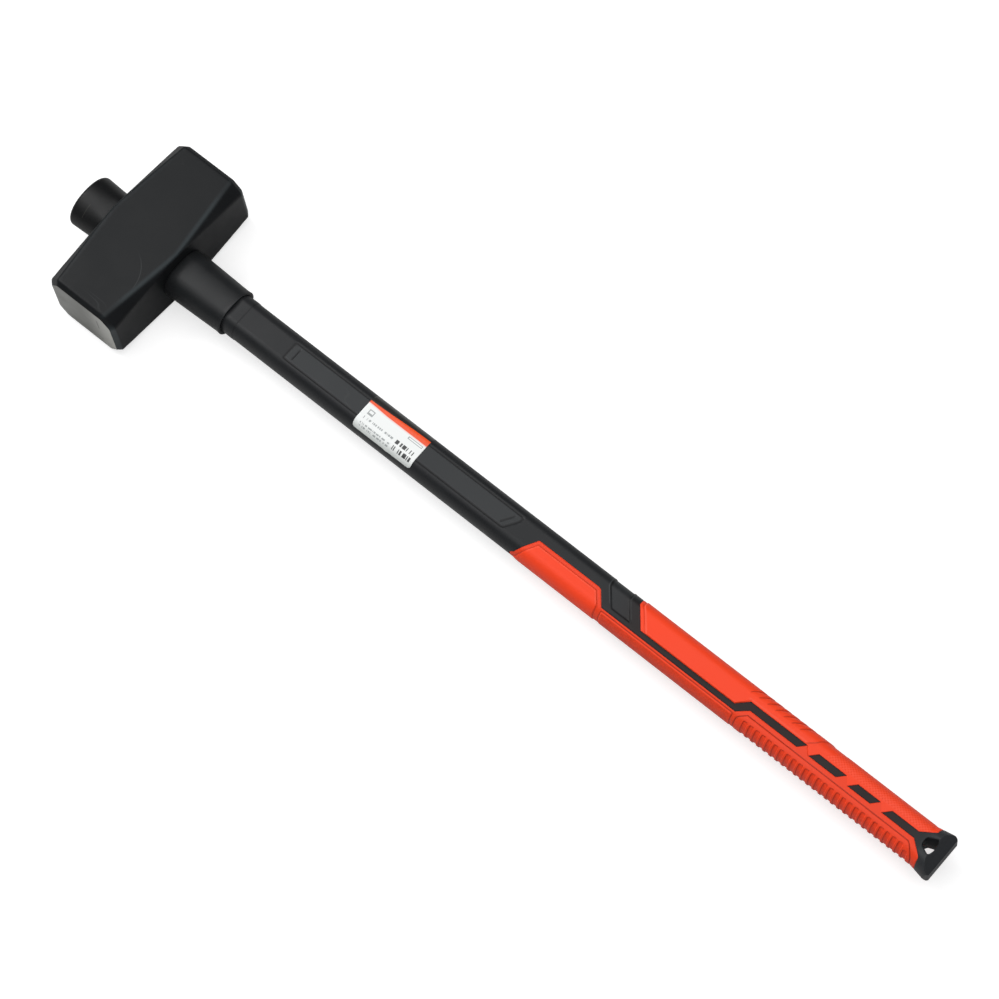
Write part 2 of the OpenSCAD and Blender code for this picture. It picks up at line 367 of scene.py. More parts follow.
def lower_relief(x, v):
    """Lift and tone of the lower grip: its front pad, its long strip and its finger pockets.

    Each pad rises from the distance inside its outline. The finger pockets are a row of hollows
    with rounded tops, each the distance inside a rounded rectangle that runs on over the edge. The
    tone is painted shade in valleys, along outlines and on the pockets' side away from the light,
    and painted highlight on the pads' rims and on the pockets' lit side.
    """
    gap = distance_to(x, v, SEAMS)
    lift = seam_rounding(gap, 0.35, 0.6)
    pad = soft_least(0.6, gap - 3.3, VALLEY_X + 1.0 - x)
    lift += raised_pad(pad, 0.65, 1.1)
    # Painted shade in the pad's valley and a painted highlight on its upper rim.
    tone = -0.5 * bump(pad / 0.5) + 0.6 * bump((pad - 1.15) / 0.5) * smooth((v + 15) / 6)
    # A little painted shade over the border strip outside the pad.
    tone -= 0.12 * smooth(-pad / 0.5)
    strip = soft_least(0.5, gap - 2.3, x - VALLEY_X - 6.2, JOG_X - 1.0 - x)
    lift += raised_pad(strip, 0.4, 0.9)
    # Painted shade in the strip's valley and a painted highlight on its rim.
    tone += -0.6 * bump(strip / 0.5) + 0.3 * bump((strip - 1.1) / 0.5)
    outline = to_chart([(JOG_X + 2.8, -HALF_WIDTH), (JOG_X + 3.5, -13.5), (JOG_X + 10, -7.4),
                        (COLLAR_X - 2, -7.9), (COLLAR_X + 0.2, -9.4), (LIP_X - 5.4, -16.4),
                        (LIP_X - 4.8, -HALF_WIDTH)])
    field = distance_to(x, v, [outline])
    within = v < np.interp(x, *zip(*outline), left=-2 * EDGE, right=-2 * EDGE)
    lift += np.where(within, 0.28 * smooth(field / 0.6), 0) - 0.3 * bump(field / 0.36)
    # Painted shade along the outline groove.
    tone -= 0.75 * bump(field / 0.48)
    pocket, side = rib_pockets(x, v)
    lift -= RIB_DEPTH * smooth((pocket + 0.1) / 0.65)
    # Painted shade on each pocket's left side and top, away from the light, and a painted highlight on its
    # right side.
    edge = bump((pocket - 0.05) / 0.36)
    tone += edge * np.where(side < 0, -0.5, 0.3) - 0.04 * smooth(pocket / 0.4)
    return lift, tone


def rib_pockets(x, v):
    """Distance inside the nearest finger pocket, and which side of its middle a place lies on.

    A pocket is a rounded rectangle that is open over the edge. Its rounded top counts as the side
    towards the head.
    """
    index = np.clip(np.round((x - RIB_START_X) / RIB_PITCH), 0, RIB_COUNT - 1)
    centre = RIB_START_X + index * RIB_PITCH
    top = RIB_TOP - 0.85 * np.maximum(centre - COLLAR_X + 4, 0)
    from_side = np.abs(x - centre) - (RIB_HALF - RIB_TURN)
    from_top = v - (top - RIB_TURN)
    outside = np.hypot(np.maximum(from_side, 0), np.maximum(from_top, 0))
    inside = RIB_TURN - outside - np.minimum(np.maximum(from_side, from_top), 0)
    return inside, x - centre - RIB_TURN


def upper_relief(x, v):
    """Lift and tone of the upper grip: its raised start, thumb grooves and diamond field.

    The pad falls to the stripe over its last run, ends at a slanting step, and is cut by straight
    grooves. The diamonds are the mean of two cosines at right angles. The tone is painted shade in
    the valley, at the step and along the grooves, and painted highlight on the pad's rising edge,
    along the ridge above the stripe and on the diamonds' crests.
    """
    y = plan(v)
    gap = distance_to(x, v, SEAMS)
    lift = seam_rounding(gap, 0.35, 0.6)
    start = to_chart(UPPER_START + [(TIP_X + 134, STRIPE_TOP - 7)])
    from_start = distance_to(x, v, [start]) - 3.2
    rise = raised_pad(from_start, 0.62, 1.1)
    # Painted highlight on the pad's rising edge and painted shade in the valley along its outline.
    tone = 0.75 * bump((from_start - 0.95) / 0.55) - 0.45 * bump(from_start / 0.45)
    fall_run = 0.9 + 1.8 * smooth((x - JOG_X + 2) / 6)
    fall = smooth((y - np.interp(x, *zip(*UPPER[3:7]))) / fall_run)
    step_x = STRIPE_END_X + 3.2 + 1.2 * (np.minimum(v, 8.4) - 3.2) + 0.65 * np.maximum(v - 8.4, 0)
    lift += rise * fall * (1 - smooth((x - step_x) / 1.5))
    past_jog = smooth((x - JOG_X - 1) / 2) * smooth((step_x - x) / 1.5)
    # Painted highlight along the ridge above the stripe.
    tone += 0.4 * past_jog * bump((y - 4.7) / 0.7)
    # Painted shade line at the slanting step.
    tone -= 0.6 * bump((x - step_x) / 0.55) * smooth((y - 3.4) / 1.0)
    depth, line = thumb_grooves(x, v)
    lift -= depth
    field = smooth((x - step_x - 15.5) / 1.2) * smooth((y - 4.6) / 0.7) * smooth((LIP_X - 5 - x) / 1.5)
    wave = 2 * math.pi / (DIAMOND_PITCH * math.sqrt(2))
    diamonds = 0.5 + 0.25 * (np.cos(wave * (x + v)) + np.cos(wave * (x - v)))
    # Tone: painted shade along the thumb grooves, and painted highlight and shade following the diamonds.
    return lift + field * 0.25 * diamonds, tone - line + field * (0.75 * diamonds - 0.27)


def thumb_grooves(x, v):
    """Depth and painted shade line of the slanting grooves: a bell across each, with a full lobe between.
    """
    depth = np.zeros(np.broadcast(x, v).shape)
    line = np.zeros(depth.shape)
    run_x, run_v = THUMB_RUN, EDGE - THUMB_START_V
    length = math.hypot(run_x, run_v)
    for i in range(THUMB_COUNT):
        from_x = x - (THUMB_START_X + i * THUMB_PITCH)
        from_v = v - THUMB_START_V
        along = (from_x * run_x + from_v * run_v) / length
        off = (from_x * run_v - from_v * run_x) / length
        begun = smooth((along + 0.4) / 1.2)
        lobe = 0.3 * bump((off - 0.8) / 1.4) * smooth(off / 0.4)
        depth += (0.6 * bump(off / 0.55) + lobe) * begun * smooth(along / 6)
        depth += 0.2 * bump(off / 0.5) * begun
        # Painted shade along each groove.
        line += 0.6 * bump(off / 0.45) * begun
    return depth, line


# ---------------------------------------------------------------- mesh making

def quads_of(rows, columns, start):
    """Corner numbers of the quads of one grid whose first point has the given number."""
    first = start + np.arange(rows - 1)[:, None] * columns + np.arange(columns - 1)[None, :]
    return np.stack([first, first + 1, first + columns + 1, first + columns], -1).reshape(-1, 4)


def make_piece(name, patches, materials, sharp=38.0):
    """One closed mesh from grids of points.

    patches is a list of (points in millimetres as rows x columns x 3, chart as rows x columns x 2
    or None, material number, and optionally the painted shade and highlight values at the points).
    Doubles are merged, and faces are turned to point outwards.
    """
    points, charts, quads, numbers, painted_shading_values, start = [], [], [], [], [], 0
    for grid, chart, number, *tone in patches:
        rows, columns = grid.shape[:2]
        points.append(grid.reshape(-1, 3))
        charts.append((grid[..., :2] if chart is None else chart).reshape(-1, 2))
        quads.append(quads_of(rows, columns, start))
        numbers.append(np.full(len(quads[-1]), number))
        painted_shading_values.append(np.broadcast_to(tone[0] if tone else 0.0, (rows, columns)).ravel())
        start += rows * columns
    points, charts, quads = np.concatenate(points) * MM, np.concatenate(charts) * MM, np.concatenate(quads)
    mesh = bpy.data.meshes.new(name)
    mesh.from_pydata(points.tolist(), [], quads.tolist())
    mesh.polygons.foreach_set("material_index", np.concatenate(numbers).astype(np.int32))
    # The relief attribute holds painted shade where negative and painted highlight where positive.
    relief = mesh.attributes.new("relief", "FLOAT", "POINT")
    relief.data.foreach_set("value", np.concatenate(painted_shading_values).astype(np.float32))
    layer = mesh.uv_layers.new(name="chart")
    layer.data.foreach_set("uv", charts[quads.ravel()].astype(np.float32).ravel())
    work = bmesh.new()
    work.from_mesh(mesh)
    bmesh.ops.remove_doubles(work, verts=work.verts, dist=2e-6)
    bmesh.ops.dissolve_degenerate(work, edges=work.edges, dist=1e-6)
    bmesh.ops.recalc_face_normals(work, faces=work.faces)
    work.to_mesh(mesh)
    work.free()
    mesh.polygons.foreach_set("use_smooth", np.ones(len(mesh.polygons), bool))
    mesh.set_sharp_from_angle(angle=math.radians(sharp))
    for material in materials:
        mesh.materials.append(material)
    mesh.update()
    piece = bpy.data.objects.new(name, mesh)
    bpy.context.scene.collection.objects.link(piece)
    return piece


def seat_piece(piece, slot, *nodes):
    """Lets a piece ride on the hammer's one body, in place of its frame nodes."""
    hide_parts(*nodes)
    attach(piece, "root")
    return piece


def ring_patch(profile, count=72, rounding=0.0):
    """A closed surface: the profile (x, swell) carried all round the handle's section.

    Rounding blends the outer section, where the swell is more than 2.2, towards a full ellipse.
    """
    v = across_all_round(count)
    x = np.array([p[0] for p in profile])[:, None]
    swell = np.array([p[1] for p in profile])[:, None]
    rounding = np.where(swell > 2.2, rounding, 0.0)
    front = on_handle(x, v, swell=swell, rounding=rounding)
    back = on_handle(x, v[::-1], swell=swell, side=-1, rounding=rounding)
    chart = np.stack(np.broadcast_arrays(x, v), -1)
    return [(front, chart, 0), (back, chart[:, ::-1], 0)]


def across_all_round(count):
    """Chart places from the lower edge to the upper edge, closer together where the skin turns."""
    turn = np.linspace(FLAT, EDGE, count // 3)
    return np.concatenate([-turn[::-1], np.linspace(-FLAT, FLAT, count // 4)[1:-1], turn])


# ---------------------------------------------------------------- node helpers and groups

class Nodes:
    """A few short ways to place and link nodes in one tree."""

    def __init__(self, tree):
        self.tree = tree

    def add(self, kind, **values):
        """A node of that kind. A value names an input socket, with spaces as underscores."""
        made = self.tree.nodes.new(kind)
        for name, value in values.items():
            self.feed(made.inputs[name.replace("_", " ")], value)
        return made

    def feed(self, socket, value):
        """Links a socket to a socket, or sets its number."""
        if isinstance(value, bpy.types.NodeSocket):
            self.tree.links.new(value, socket)
        else:
            socket.default_value = value

    def calc(self, operation, *values, clamp=False):
        """The result of one arithmetic step."""
        made = self.tree.nodes.new("ShaderNodeMath")
        made.operation = operation
        made.use_clamp = clamp
        for socket, value in zip(made.inputs, values):
            self.feed(socket, value)
        return made.outputs[0]

    def times(self, *values):
        """The product of several values."""
        result = values[0]
        for value in values[1:]:
            result = self.calc("MULTIPLY", result, value)
        return result

    def minus(self, first, second):
        """The difference of two values."""
        return self.calc("SUBTRACT", first, second)

    def size(self, value, middle=None):
        """A value's distance from a middle place, or from zero."""
        return self.calc("ABSOLUTE", value if middle is None else self.minus(value, middle))

    def ramp(self, value, low, high, to_low=0.0, to_high=1.0):
        """The value carried smoothly from one range to another."""
        made = self.tree.nodes.new("ShaderNodeMapRange")
        made.interpolation_type = "SMOOTHSTEP"
        for socket, number in zip(made.inputs[:5], (value, low, high, to_low, to_high)):
            self.feed(socket, number)
        return made.outputs[0]

    def mix(self, share, first, second):
        """A colour between two colours."""
        made = self.tree.nodes.new("ShaderNodeMix")
        made.data_type = "RGBA"
        self.feed(made.inputs[0], share)
        self.feed(made.inputs[6], first)
        self.feed(made.inputs[7], second)
        return made.outputs[2]

    def noise(self, vector, scale, detail=2.0, roughness=0.5):
        """A noise texture's value."""
        made = self.add("ShaderNodeTexNoise", Vector=vector, Scale=scale, Detail=detail,
                        Roughness=roughness)
        return made.outputs["Fac"]

    def parts(self, vector):
        """The three numbers of a vector."""
        made = self.tree.nodes.new("ShaderNodeSeparateXYZ")
        self.feed(made.inputs[0], vector)
        return made.outputs

    def join(self, x=0.0, y=0.0, z=0.0):
        """A vector from three numbers."""
        made = self.tree.nodes.new("ShaderNodeCombineXYZ")
        for socket, value in zip(made.inputs, (x, y, z)):
            self.feed(socket, value)
        return made.outputs[0]

    def group(self, tree, **values):
        """A placed group with its inputs set."""
        made = self.tree.nodes.new("ShaderNodeGroup")
        made.node_tree = tree
        for name, value in values.items():
            self.feed(made.inputs[name.replace("_", " ")], value)
        return made.outputs


def new_group(name, inputs, outputs):
    """An empty node group with named sockets: inputs are (name, kind, default)."""
    tree = bpy.data.node_groups.new(name, "ShaderNodeTree")
    for label, kind, default in inputs:
        socket = tree.interface.new_socket(label, in_out="INPUT", socket_type=kind)
        if default is not None:
            socket.default_value = default
    for label, kind in outputs:
        tree.interface.new_socket(label, in_out="OUTPUT", socket_type=kind)
    nodes = Nodes(tree)
    entry = tree.nodes.new("NodeGroupInput")
    leave = tree.nodes.new("NodeGroupOutput")
    return tree, nodes, entry.outputs, leave.inputs


FLOAT = "NodeSocketFloat"
VECTOR = "NodeSocketVector"


def mould_grain_group():
    """Spark-eroded mould texture: fine height, and a slow drift of tone."""
    tree, n, given, out = new_group(
        "mould grain",
        [("Place", VECTOR, None), ("Grain size", FLOAT, 0.0004), ("Drift size", FLOAT, 0.03)],
        [("Height", FLOAT), ("Drift", FLOAT)])
    fine = n.noise(given["Place"], n.calc("DIVIDE", 1.0, given["Grain size"]), 3.0, 0.6)
    n.feed(out["Height"], fine)
    n.feed(out["Drift"], n.noise(given["Place"], n.calc("DIVIDE", 1.0, given["Drift size"]), 3.0, 0.5))
    return tree


def scuff_group():
    """Hairline scuffs: thin bands where a stretched noise passes its middle value."""
    tree, n, given, out = new_group(
        "hairline scuffs",
        [("Place", VECTOR, None), ("Size", FLOAT, 0.02), ("Amount", FLOAT, 0.4)],
        [("Mask", FLOAT)])
    stretched = n.add("ShaderNodeMapping", Vector=given["Place"])
    stretched.inputs["Scale"].default_value = (0.22, 1.0, 0.6)
    stretched.inputs["Rotation"].default_value = (0.2, 0.5, 0.6)
    scale = n.calc("DIVIDE", 1.0, given["Size"])
    line = n.noise(stretched.outputs[0], scale, 2.0, 0.5)
    thin = n.ramp(n.size(line, 0.5), 0.0, 0.004, 1.0, 0.0)
    patch = n.noise(given["Place"], n.times(scale, 0.7), 1.0, 0.5)
    shown = n.ramp(patch, n.minus(1.0, given["Amount"]), 1.0)
    n.feed(out["Mask"], n.calc("MULTIPLY", thin, shown, clamp=True))
    return tree


def printed_block_group():
    """A printed block with soft rounded edges, in chart millimetres."""
    tree, n, given, out = new_group(
        "printed block",
        [("Along", FLOAT, 0.0), ("Across", FLOAT, 0.0), ("Left", FLOAT, 0.0), ("Right", FLOAT, 1.0),
         ("Low", FLOAT, 0.0), ("High", FLOAT, 1.0), ("Blur", FLOAT, 0.18)],
        [("Mask", FLOAT)])
    left = n.minus(given["Along"], given["Left"])
    right = n.minus(given["Right"], given["Along"])
    low = n.minus(given["Across"], given["Low"])
    high = n.minus(given["High"], given["Across"])
    inside = n.calc("MINIMUM", n.calc("MINIMUM", left, right), n.calc("MINIMUM", low, high))
    blur = given["Blur"]
    mask = n.ramp(inside, n.times(blur, -1.0), blur)
    n.feed(out["Mask"], mask)
    return tree


def moulded_diamond_group():
    """Fine moulded diamonds: the mean of two sines at right angles on the chart."""
    tree, n, given, out = new_group(
        "moulded diamonds",
        [("Along", FLOAT, 0.0), ("Across", FLOAT, 0.0), ("Pitch", FLOAT, 1.2)],
        [("Height", FLOAT)])
    wave = n.calc("DIVIDE", 2 * math.pi / math.sqrt(2), given["Pitch"])
    rising = n.calc("SINE", n.times(n.calc("ADD", given["Along"], given["Across"]), wave))
    falling = n.calc("SINE", n.times(n.minus(given["Along"], given["Across"]), wave))
    n.feed(out["Height"], n.calc("MULTIPLY_ADD", n.calc("ADD", rising, falling), 0.25, 0.5))
    return tree


GROUP_MAKERS = {
    "mould grain": mould_grain_group,
    "hairline scuffs": scuff_group,
    "printed block": printed_block_group,
    "moulded diamonds": moulded_diamond_group,
}


def group(name):
    """The shared group of that name, built the first time it is asked for."""
    return bpy.data.node_groups.get(name) or GROUP_MAKERS[name]()


def new_material(name, **values):
    """A material with one Principled shader whose sockets are set to the given values."""
    material = bpy.data.materials.new(name)
    material.use_nodes = True
    tree = material.node_tree
    tree.nodes.clear()
    n = Nodes(tree)
    shader = n.add("ShaderNodeBsdfPrincipled", **values)
    leave = tree.nodes.new("ShaderNodeOutputMaterial")
    tree.links.new(shader.outputs[0], leave.inputs[0])
    return material, n, shader


def paint_relief_shade_and_highlight(n, color, light):
    """The colour with painted shade in grooves and a painted highlight on crests, from the piece's own
    relief attribute.
    """
    relief = n.tree.nodes.new("ShaderNodeAttribute")
    relief.attribute_name = "relief"
    value = relief.outputs["Fac"]
    # Painted shade: towards black where the relief value is negative.
    dark = n.mix(n.calc("MULTIPLY", value, -0.8, clamp=True), color, (0, 0, 0, 1))
    # Painted highlight: towards the light colour where the relief value is positive.
    return n.mix(n.calc("MULTIPLY", value, 0.5, clamp=True), dark, light)


def chart_place(n):
    """Chart millimetres (along, across) of the surface, from the piece's own chart map."""
    chart = n.tree.nodes.new("ShaderNodeUVMap")
    chart.uv_map = "chart"
    x, v, _ = n.parts(chart.outputs[0])
    return n.times(x, 1000.0), n.times(v, 1000.0)


def object_place(n):
    """Object coordinates, in metres."""
    return n.tree.nodes.new("ShaderNodeTexCoord").outputs["Object"]


def skin(n, shader, color, mask, gloss, height, distance, strength):
    """Feeds a shader: its colour, a roughness that a mask carries over the gloss range, and a bump."""
    made = n.add("ShaderNodeBump", Height=height, Strength=strength, Distance=distance)
    n.feed(shader.inputs["Base Color"], color)
    n.feed(shader.inputs["Roughness"], n.ramp(mask, 0.3, 0.7, *gloss))
    n.feed(shader.inputs["Normal"], made.outputs[0])


def grain_of(n, place, grain_size, drift_size):
    """The mould grain's height and drift at the given sizes, in metres."""
    return n.group(group("mould grain"), Place=place, Grain_size=grain_size, Drift_size=drift_size)


def shade(color, factor):
    """A colour made darker or lighter, with full alpha."""
    return tuple(min(1.0, c * factor) for c in color[:3]) + (1.0,)


# ---------------------------------------------------------------- materials

def painted_steel(color):
    """Satin black paint on the forging: orange-peel skin, slow tone drift and faint scuffs, with a painted
    highlight along the ridges and a painted reflection on the face bevels.
    """
    material, n, shader = new_material("painted forging", Roughness=0.45, Specular_IOR_Level=0.15)
    place = object_place(n)
    grain = grain_of(n, place, 0.0011, 0.035)
    scuffs = n.group(group("hairline scuffs"), Place=place, Size=0.03, Amount=0.46)
    arc = curved_scratch(n, place)
    marks = n.calc("MAXIMUM", n.times(scuffs["Mask"], 0.3), arc)
    drifted = n.mix(grain["Drift"], shade(color, 0.8), shade(color, 1.2))
    drifted = n.mix(marks, drifted, (0.11, 0.12, 0.12, 1))
    # Painted highlight and painted reflection in a pale blue-grey.
    ridge_lit = n.mix(painted_ridge_highlight(n, place), drifted, (0.075, 0.10, 0.11, 1))
    skin(n, shader, ridge_lit, grain["Drift"], (0.38, 0.47), grain["Height"], 0.00006, 0.5)
    return material


def painted_ridge_highlight(n, place):
    """Painted highlight along the ridges of the broad sides: a soft band where the chamfer begins, stronger
    towards +X, and a painted reflection on the face bevels towards the corners.
    """
    x, y, z = n.parts(place)
    half_x, half_y, _ = (HEAD_HIGH - HEAD_LOW) / 2 * MM
    cut = n.times(n.size(y), 0.010 / half_y)
    ridge = n.minus(n.minus(half_x, cut), n.size(x))
    band = n.ramp(n.size(ridge, 0.0012), 0.0, 0.0034, 0.24, 0.0)
    band = n.times(band, n.ramp(x, -0.01, 0.01, 0.25, 1.0))
    height = n.ramp(n.size(z, AXIS_Z * MM), 0.029, 0.031)
    short = n.ramp(n.size(y), 0.070, 0.050, 0.35, 1.0)
    ridge_highlight_mask = n.times(band, height, short)
    # Painted reflection on the bevels round the striking faces.
    bevel = n.ramp(n.size(y), half_y - 0.0044, half_y - 0.0034)
    corner = n.times(n.ramp(n.size(x), 0.0225, 0.0245), n.ramp(z, 0.058, 0.050))
    return n.calc("MAXIMUM", ridge_highlight_mask, n.times(bevel, corner, 0.3))


def curved_scratch(n, place):
    """One long faint arc on the upper broad side of the head: a ring of set radius, faded at its ends."""
    x, y, z = n.parts(place)
    from_x = n.minus(x, -0.00385)
    from_y = n.minus(y, -0.04623)
    reach = n.calc("SQRT", n.calc("ADD", n.times(from_x, from_x), n.times(from_y, from_y)))
    line = n.ramp(n.size(reach, 0.03116), 0.0, 0.0006, 0.2, 0.0)
    span = n.times(n.ramp(y, -0.046, -0.041), n.ramp(y, -0.016, -0.026), n.ramp(x, 0.004, 0.010))
    return n.times(line, span, n.ramp(z, 0.050, 0.056))


def ground_steel():
    """Bare ground striking face: fine parallel grinding lines, cloudy tone, a few nicks, and a painted
    reflection that lightens it towards +X.
    """
    material, n, shader = new_material("ground steel", Metallic=1.0, Roughness=0.36)
    place = object_place(n)
    x, _, z = n.parts(place)
    lines = n.noise(n.join(n.times(x, 0.04), 0.0, z), 2600.0, 2.0)
    clouds = n.noise(place, 45.0, 3.0)
    along, high = n.times(x, 1000.0), n.times(z, 1000.0)
    block = group("printed block")
    nicks = 0.0
    marks = ((16.5, 17.6, 33.0, 49.0), (11.5, 15.2, 13.4, 14.2), (16.2, 17.4, 12.6, 13.8))
    for left, right, low, top in marks:
        mark = n.group(block, Along=along, Across=high, Left=left, Right=right, Low=low, High=top,
                       Blur=0.45)
        nicks = n.calc("MAXIMUM", nicks, mark["Mask"])
    nicks = n.times(nicks, n.ramp(n.noise(place, 700.0), 0.3, 0.5, 0.6, 1.0))
    color = n.mix(clouds, (0.185, 0.187, 0.175, 1), (0.25, 0.25, 0.232, 1))
    color = n.mix(n.times(lines, 0.35), color, (0.13, 0.135, 0.125, 1))
    # Painted reflection: the face turns lighter towards +X.
    color = n.mix(n.ramp(along, 0.0, 32.0, 0.0, 0.75), color, (0.58, 0.58, 0.54, 1))
    skin(n, shader, n.mix(nicks, color, (0.06, 0.06, 0.055, 1)), clouds, (0.32, 0.44), lines, 0.00002, 0.6)
    return material


def hard_plastic(color, warm):
    """Moulded jacket: fine grain and slow drift, a warmer tone between the bands of soft grip, painted
    shade on the stub above the head, painted light on the butt end, and painted shade and highlight from
    the relief.
    """
    material, n, shader = new_material("hard jacket", Roughness=0.44, Specular_IOR_Level=0.28)
    place = object_place(n)
    grain = grain_of(n, place, 0.0007, 0.05)
    scuffs = n.group(group("hairline scuffs"), Place=place, Size=0.05, Amount=0.5)
    along, spread = chart_place(n)
    between = n.times(n.ramp(along, TIP_X + 88, TIP_X + 140), n.ramp(along, LIP_X - 6, LIP_X - 26))
    between = n.times(between, n.ramp(n.size(spread), 13.0, 11.0))
    drifted = n.mix(grain["Drift"], shade(color, 0.85), shade(color, 1.15))
    drifted = n.mix(between, drifted, warm)
    # Painted shade: the stub above the head darkened.
    drifted = n.mix(n.ramp(along, -EYE_X, -EYE_X - 6, 0.0, 1.0), drifted, shade(color, 0.3))
    # Painted light: the butt end lightened.
    drifted = n.mix(n.ramp(along, LIP_X - 8, LIP_X, 0.0, 1.0), drifted, shade(color, 2.0))
    block = group("printed block")
    scratch = n.group(block, Along=along, Across=spread, Left=TOP_X + 12.6, Right=TOP_X + 12.9, Low=-17.0,
                      High=-7.0, Blur=0.3)["Mask"]
    marks = n.calc("MAXIMUM", n.times(scuffs["Mask"], 0.15), n.times(scratch, 0.3))
    drifted = n.mix(marks, drifted, (0.12, 0.12, 0.10, 1))
    # Painted highlight colour for crests; grooves take painted shade.
    color = paint_relief_shade_and_highlight(n, drifted, (0.10, 0.11, 0.115, 1))
    skin(n, shader, color, grain["Drift"], (0.40, 0.50), grain["Height"], 0.00005, 0.45)
    return material


def soft_rubber(color):
    """Soft overmoulding: matt grain, painted shade and a pink painted highlight from the relief, and
    flecked fine diamonds on the long strip.
    """
    material, n, shader = new_material("soft grip", Roughness=0.52, Specular_IOR_Level=0.3)
    place = object_place(n)
    along, spread = chart_place(n)
    grain = grain_of(n, place, 0.0006, 0.04)
    diamonds = n.group(group("moulded diamonds"), Along=along, Across=spread, Pitch=1.25)
    strip = n.times(n.ramp(along, TIP_X + 93, TIP_X + 94.5), n.ramp(along, JOG_X - 2, JOG_X - 3.5))
    strip = n.times(strip, n.ramp(spread, -15.0, -16.0))
    drifted = n.mix(grain["Drift"], shade(color, 0.95), shade(color, 1.04))
    fleck = n.times(strip, n.ramp(n.noise(place, 900.0, 1.0), 0.4, 0.62, 0.32, 0.0))
    drifted = n.mix(fleck, drifted, shade(color, 0.55))
    height = n.calc("ADD", n.times(grain["Height"], 0.22),
                   n.times(strip, diamonds["Height"], 1.4))
    # Pink painted highlight colour for crests; grooves take painted shade.
    color = paint_relief_shade_and_highlight(n, drifted, (1.0, 0.22, 0.15, 1))
    skin(n, shader, color, grain["Drift"], (0.48, 0.56), height, 0.00016, 0.7)
    return material


def sleeve_rubber(color):
    """Black rubber sleeve: satin skin with a slow drift of gloss."""
    material, n, shader = new_material("sleeve rubber", Roughness=0.4, Specular_IOR_Level=0.26)
    place = object_place(n)
    grain = grain_of(n, place, 0.0012, 0.022)
    drifted = n.mix(grain["Drift"], shade(color, 0.8), shade(color, 1.25))
    skin(n, shader, drifted, grain["Drift"], (0.34, 0.46), grain["Height"], 0.00007, 0.4)
    return material


def cured_resin(color):
    """Amber bedding resin: cloudy tone with small bubbles."""
    material, n, shader = new_material("bedding resin", Roughness=0.35)
    place = object_place(n)
    clouds = n.noise(place, 260.0, 3.0)
    bubble = n.add("ShaderNodeTexVoronoi", Vector=place, Scale=900.0)
    pits = n.ramp(bubble.outputs["Distance"], 0.1, 0.25, 0.0, 1.0)
    tone = n.mix(clouds, shade(color, 0.7), shade(color, 1.2))
    skin(n, shader, tone, clouds, (0.3, 0.45), pits, 0.0001, 0.5)
    return material


def sawn_fibre(color):
    """Sawn end of the rod: packed fibre ends in resin, with a light saw pattern."""
    material, n, shader = new_material("sawn glass fibre", Roughness=0.55)
    place = object_place(n)
    _, y, z = n.parts(place)
    ends = n.add("ShaderNodeTexVoronoi", Vector=n.join(0.0, y, z), Scale=1800.0)
    saw = n.noise(n.join(0.0, n.times(y, 0.1), z), 1200.0, 2.0)
    tone = n.mix(n.ramp(ends.outputs["Distance"], 0.1, 0.6), shade(color, 1.15), shade(color, 0.55))
    skin(n, shader, n.mix(n.times(saw, 0.3), tone, shade(color, 0.5)), saw, (0.5, 0.65), saw, 0.0001, 0.6)
    return material


def label_film(paper, accent):
    """Printed film: white field, dark header, orange band and plain grey marks that spell nothing."""
    material, n, shader = new_material("label film", Roughness=0.3)
    along, spread = chart_place(n)
    along = n.minus(along, LABEL_LOW[0])
    block = group("printed block")

    def printed(left, right, low, high, blur=0.18):
        return n.group(block, Along=along, Across=spread, Left=left, Right=right, Low=low, High=high,
                       Blur=blur)["Mask"]

    def marks(left, right, low, high, pitch, cover):
        """A row of short upright strokes whose presence follows a fixed noise."""
        cell = n.calc("FLOOR", n.calc("DIVIDE", along, pitch))
        white = n.tree.nodes.new("ShaderNodeTexWhiteNoise")
        white.noise_dimensions = "2D"
        n.feed(white.inputs["Vector"], n.join(cell, float(low), 0.0))
        chosen = n.ramp(white.outputs["Value"], cover - 0.02, cover + 0.02, 1.0, 0.0)
        return n.times(printed(left, right, low, high), chosen)

    grey = (0.36, 0.38, 0.38, 1)
    dark = (0.045, 0.047, 0.048, 1)
    tone = n.mix(n.ramp(spread, -11.0, -19.0), paper, (0.66, 0.69, 0.67, 1))
    low_line = n.ramp(along, 2.0, 22.0, 6.4, 5.6)
    fade = n.times(n.ramp(spread, n.minus(low_line, 1.6), low_line), 0.35)
    tone = n.mix(fade, tone, shade(accent, 1.0))
    tone = n.mix(n.ramp(spread, n.minus(low_line, 0.15), n.calc("ADD", low_line, 0.15)), tone, accent)
    for mask, ink in (
            (printed(5.0, 10.6, -2.8, 2.2), grey), (printed(5.9, 9.7, -1.0, 1.4), paper),
            (marks(4.3, 9.0, -7.4, -5.0, 0.7, 0.7), grey),
            (marks(9.4, 36.0, -7.0, -5.2, 0.62, 0.62), grey),
            (marks(5.0, 37.0, -12.6, -11.2, 0.66, 0.68), grey),
            (marks(5.0, 37.0, -15.6, -14.0, 0.66, 0.6), grey),
            (marks(39.4, 58.6, -8.0, -4.4, 0.85, 0.55), dark),
            (marks(39.6, 58.8, -14.6, -10.2, 0.85, 0.6), dark),
            (printed(45.0, 60.0, 1.5, 3.9), grey), (printed(46.0, 59.4, 2.1, 3.3), paper)):
        tone = n.mix(mask, tone, ink)
    top_line = n.ramp(along, 0.0, 60.0, 8.6, 11.6)
    header = n.ramp(spread, n.minus(top_line, 0.12), n.calc("ADD", top_line, 0.12))
    tone = n.mix(header, tone, (0.022, 0.021, 0.020, 1))
    ripple = n.noise(object_place(n), 90.0, 2.0)
    skin(n, shader, tone, ripple, (0.26, 0.36), ripple, 0.0002, 0.25)
    return material


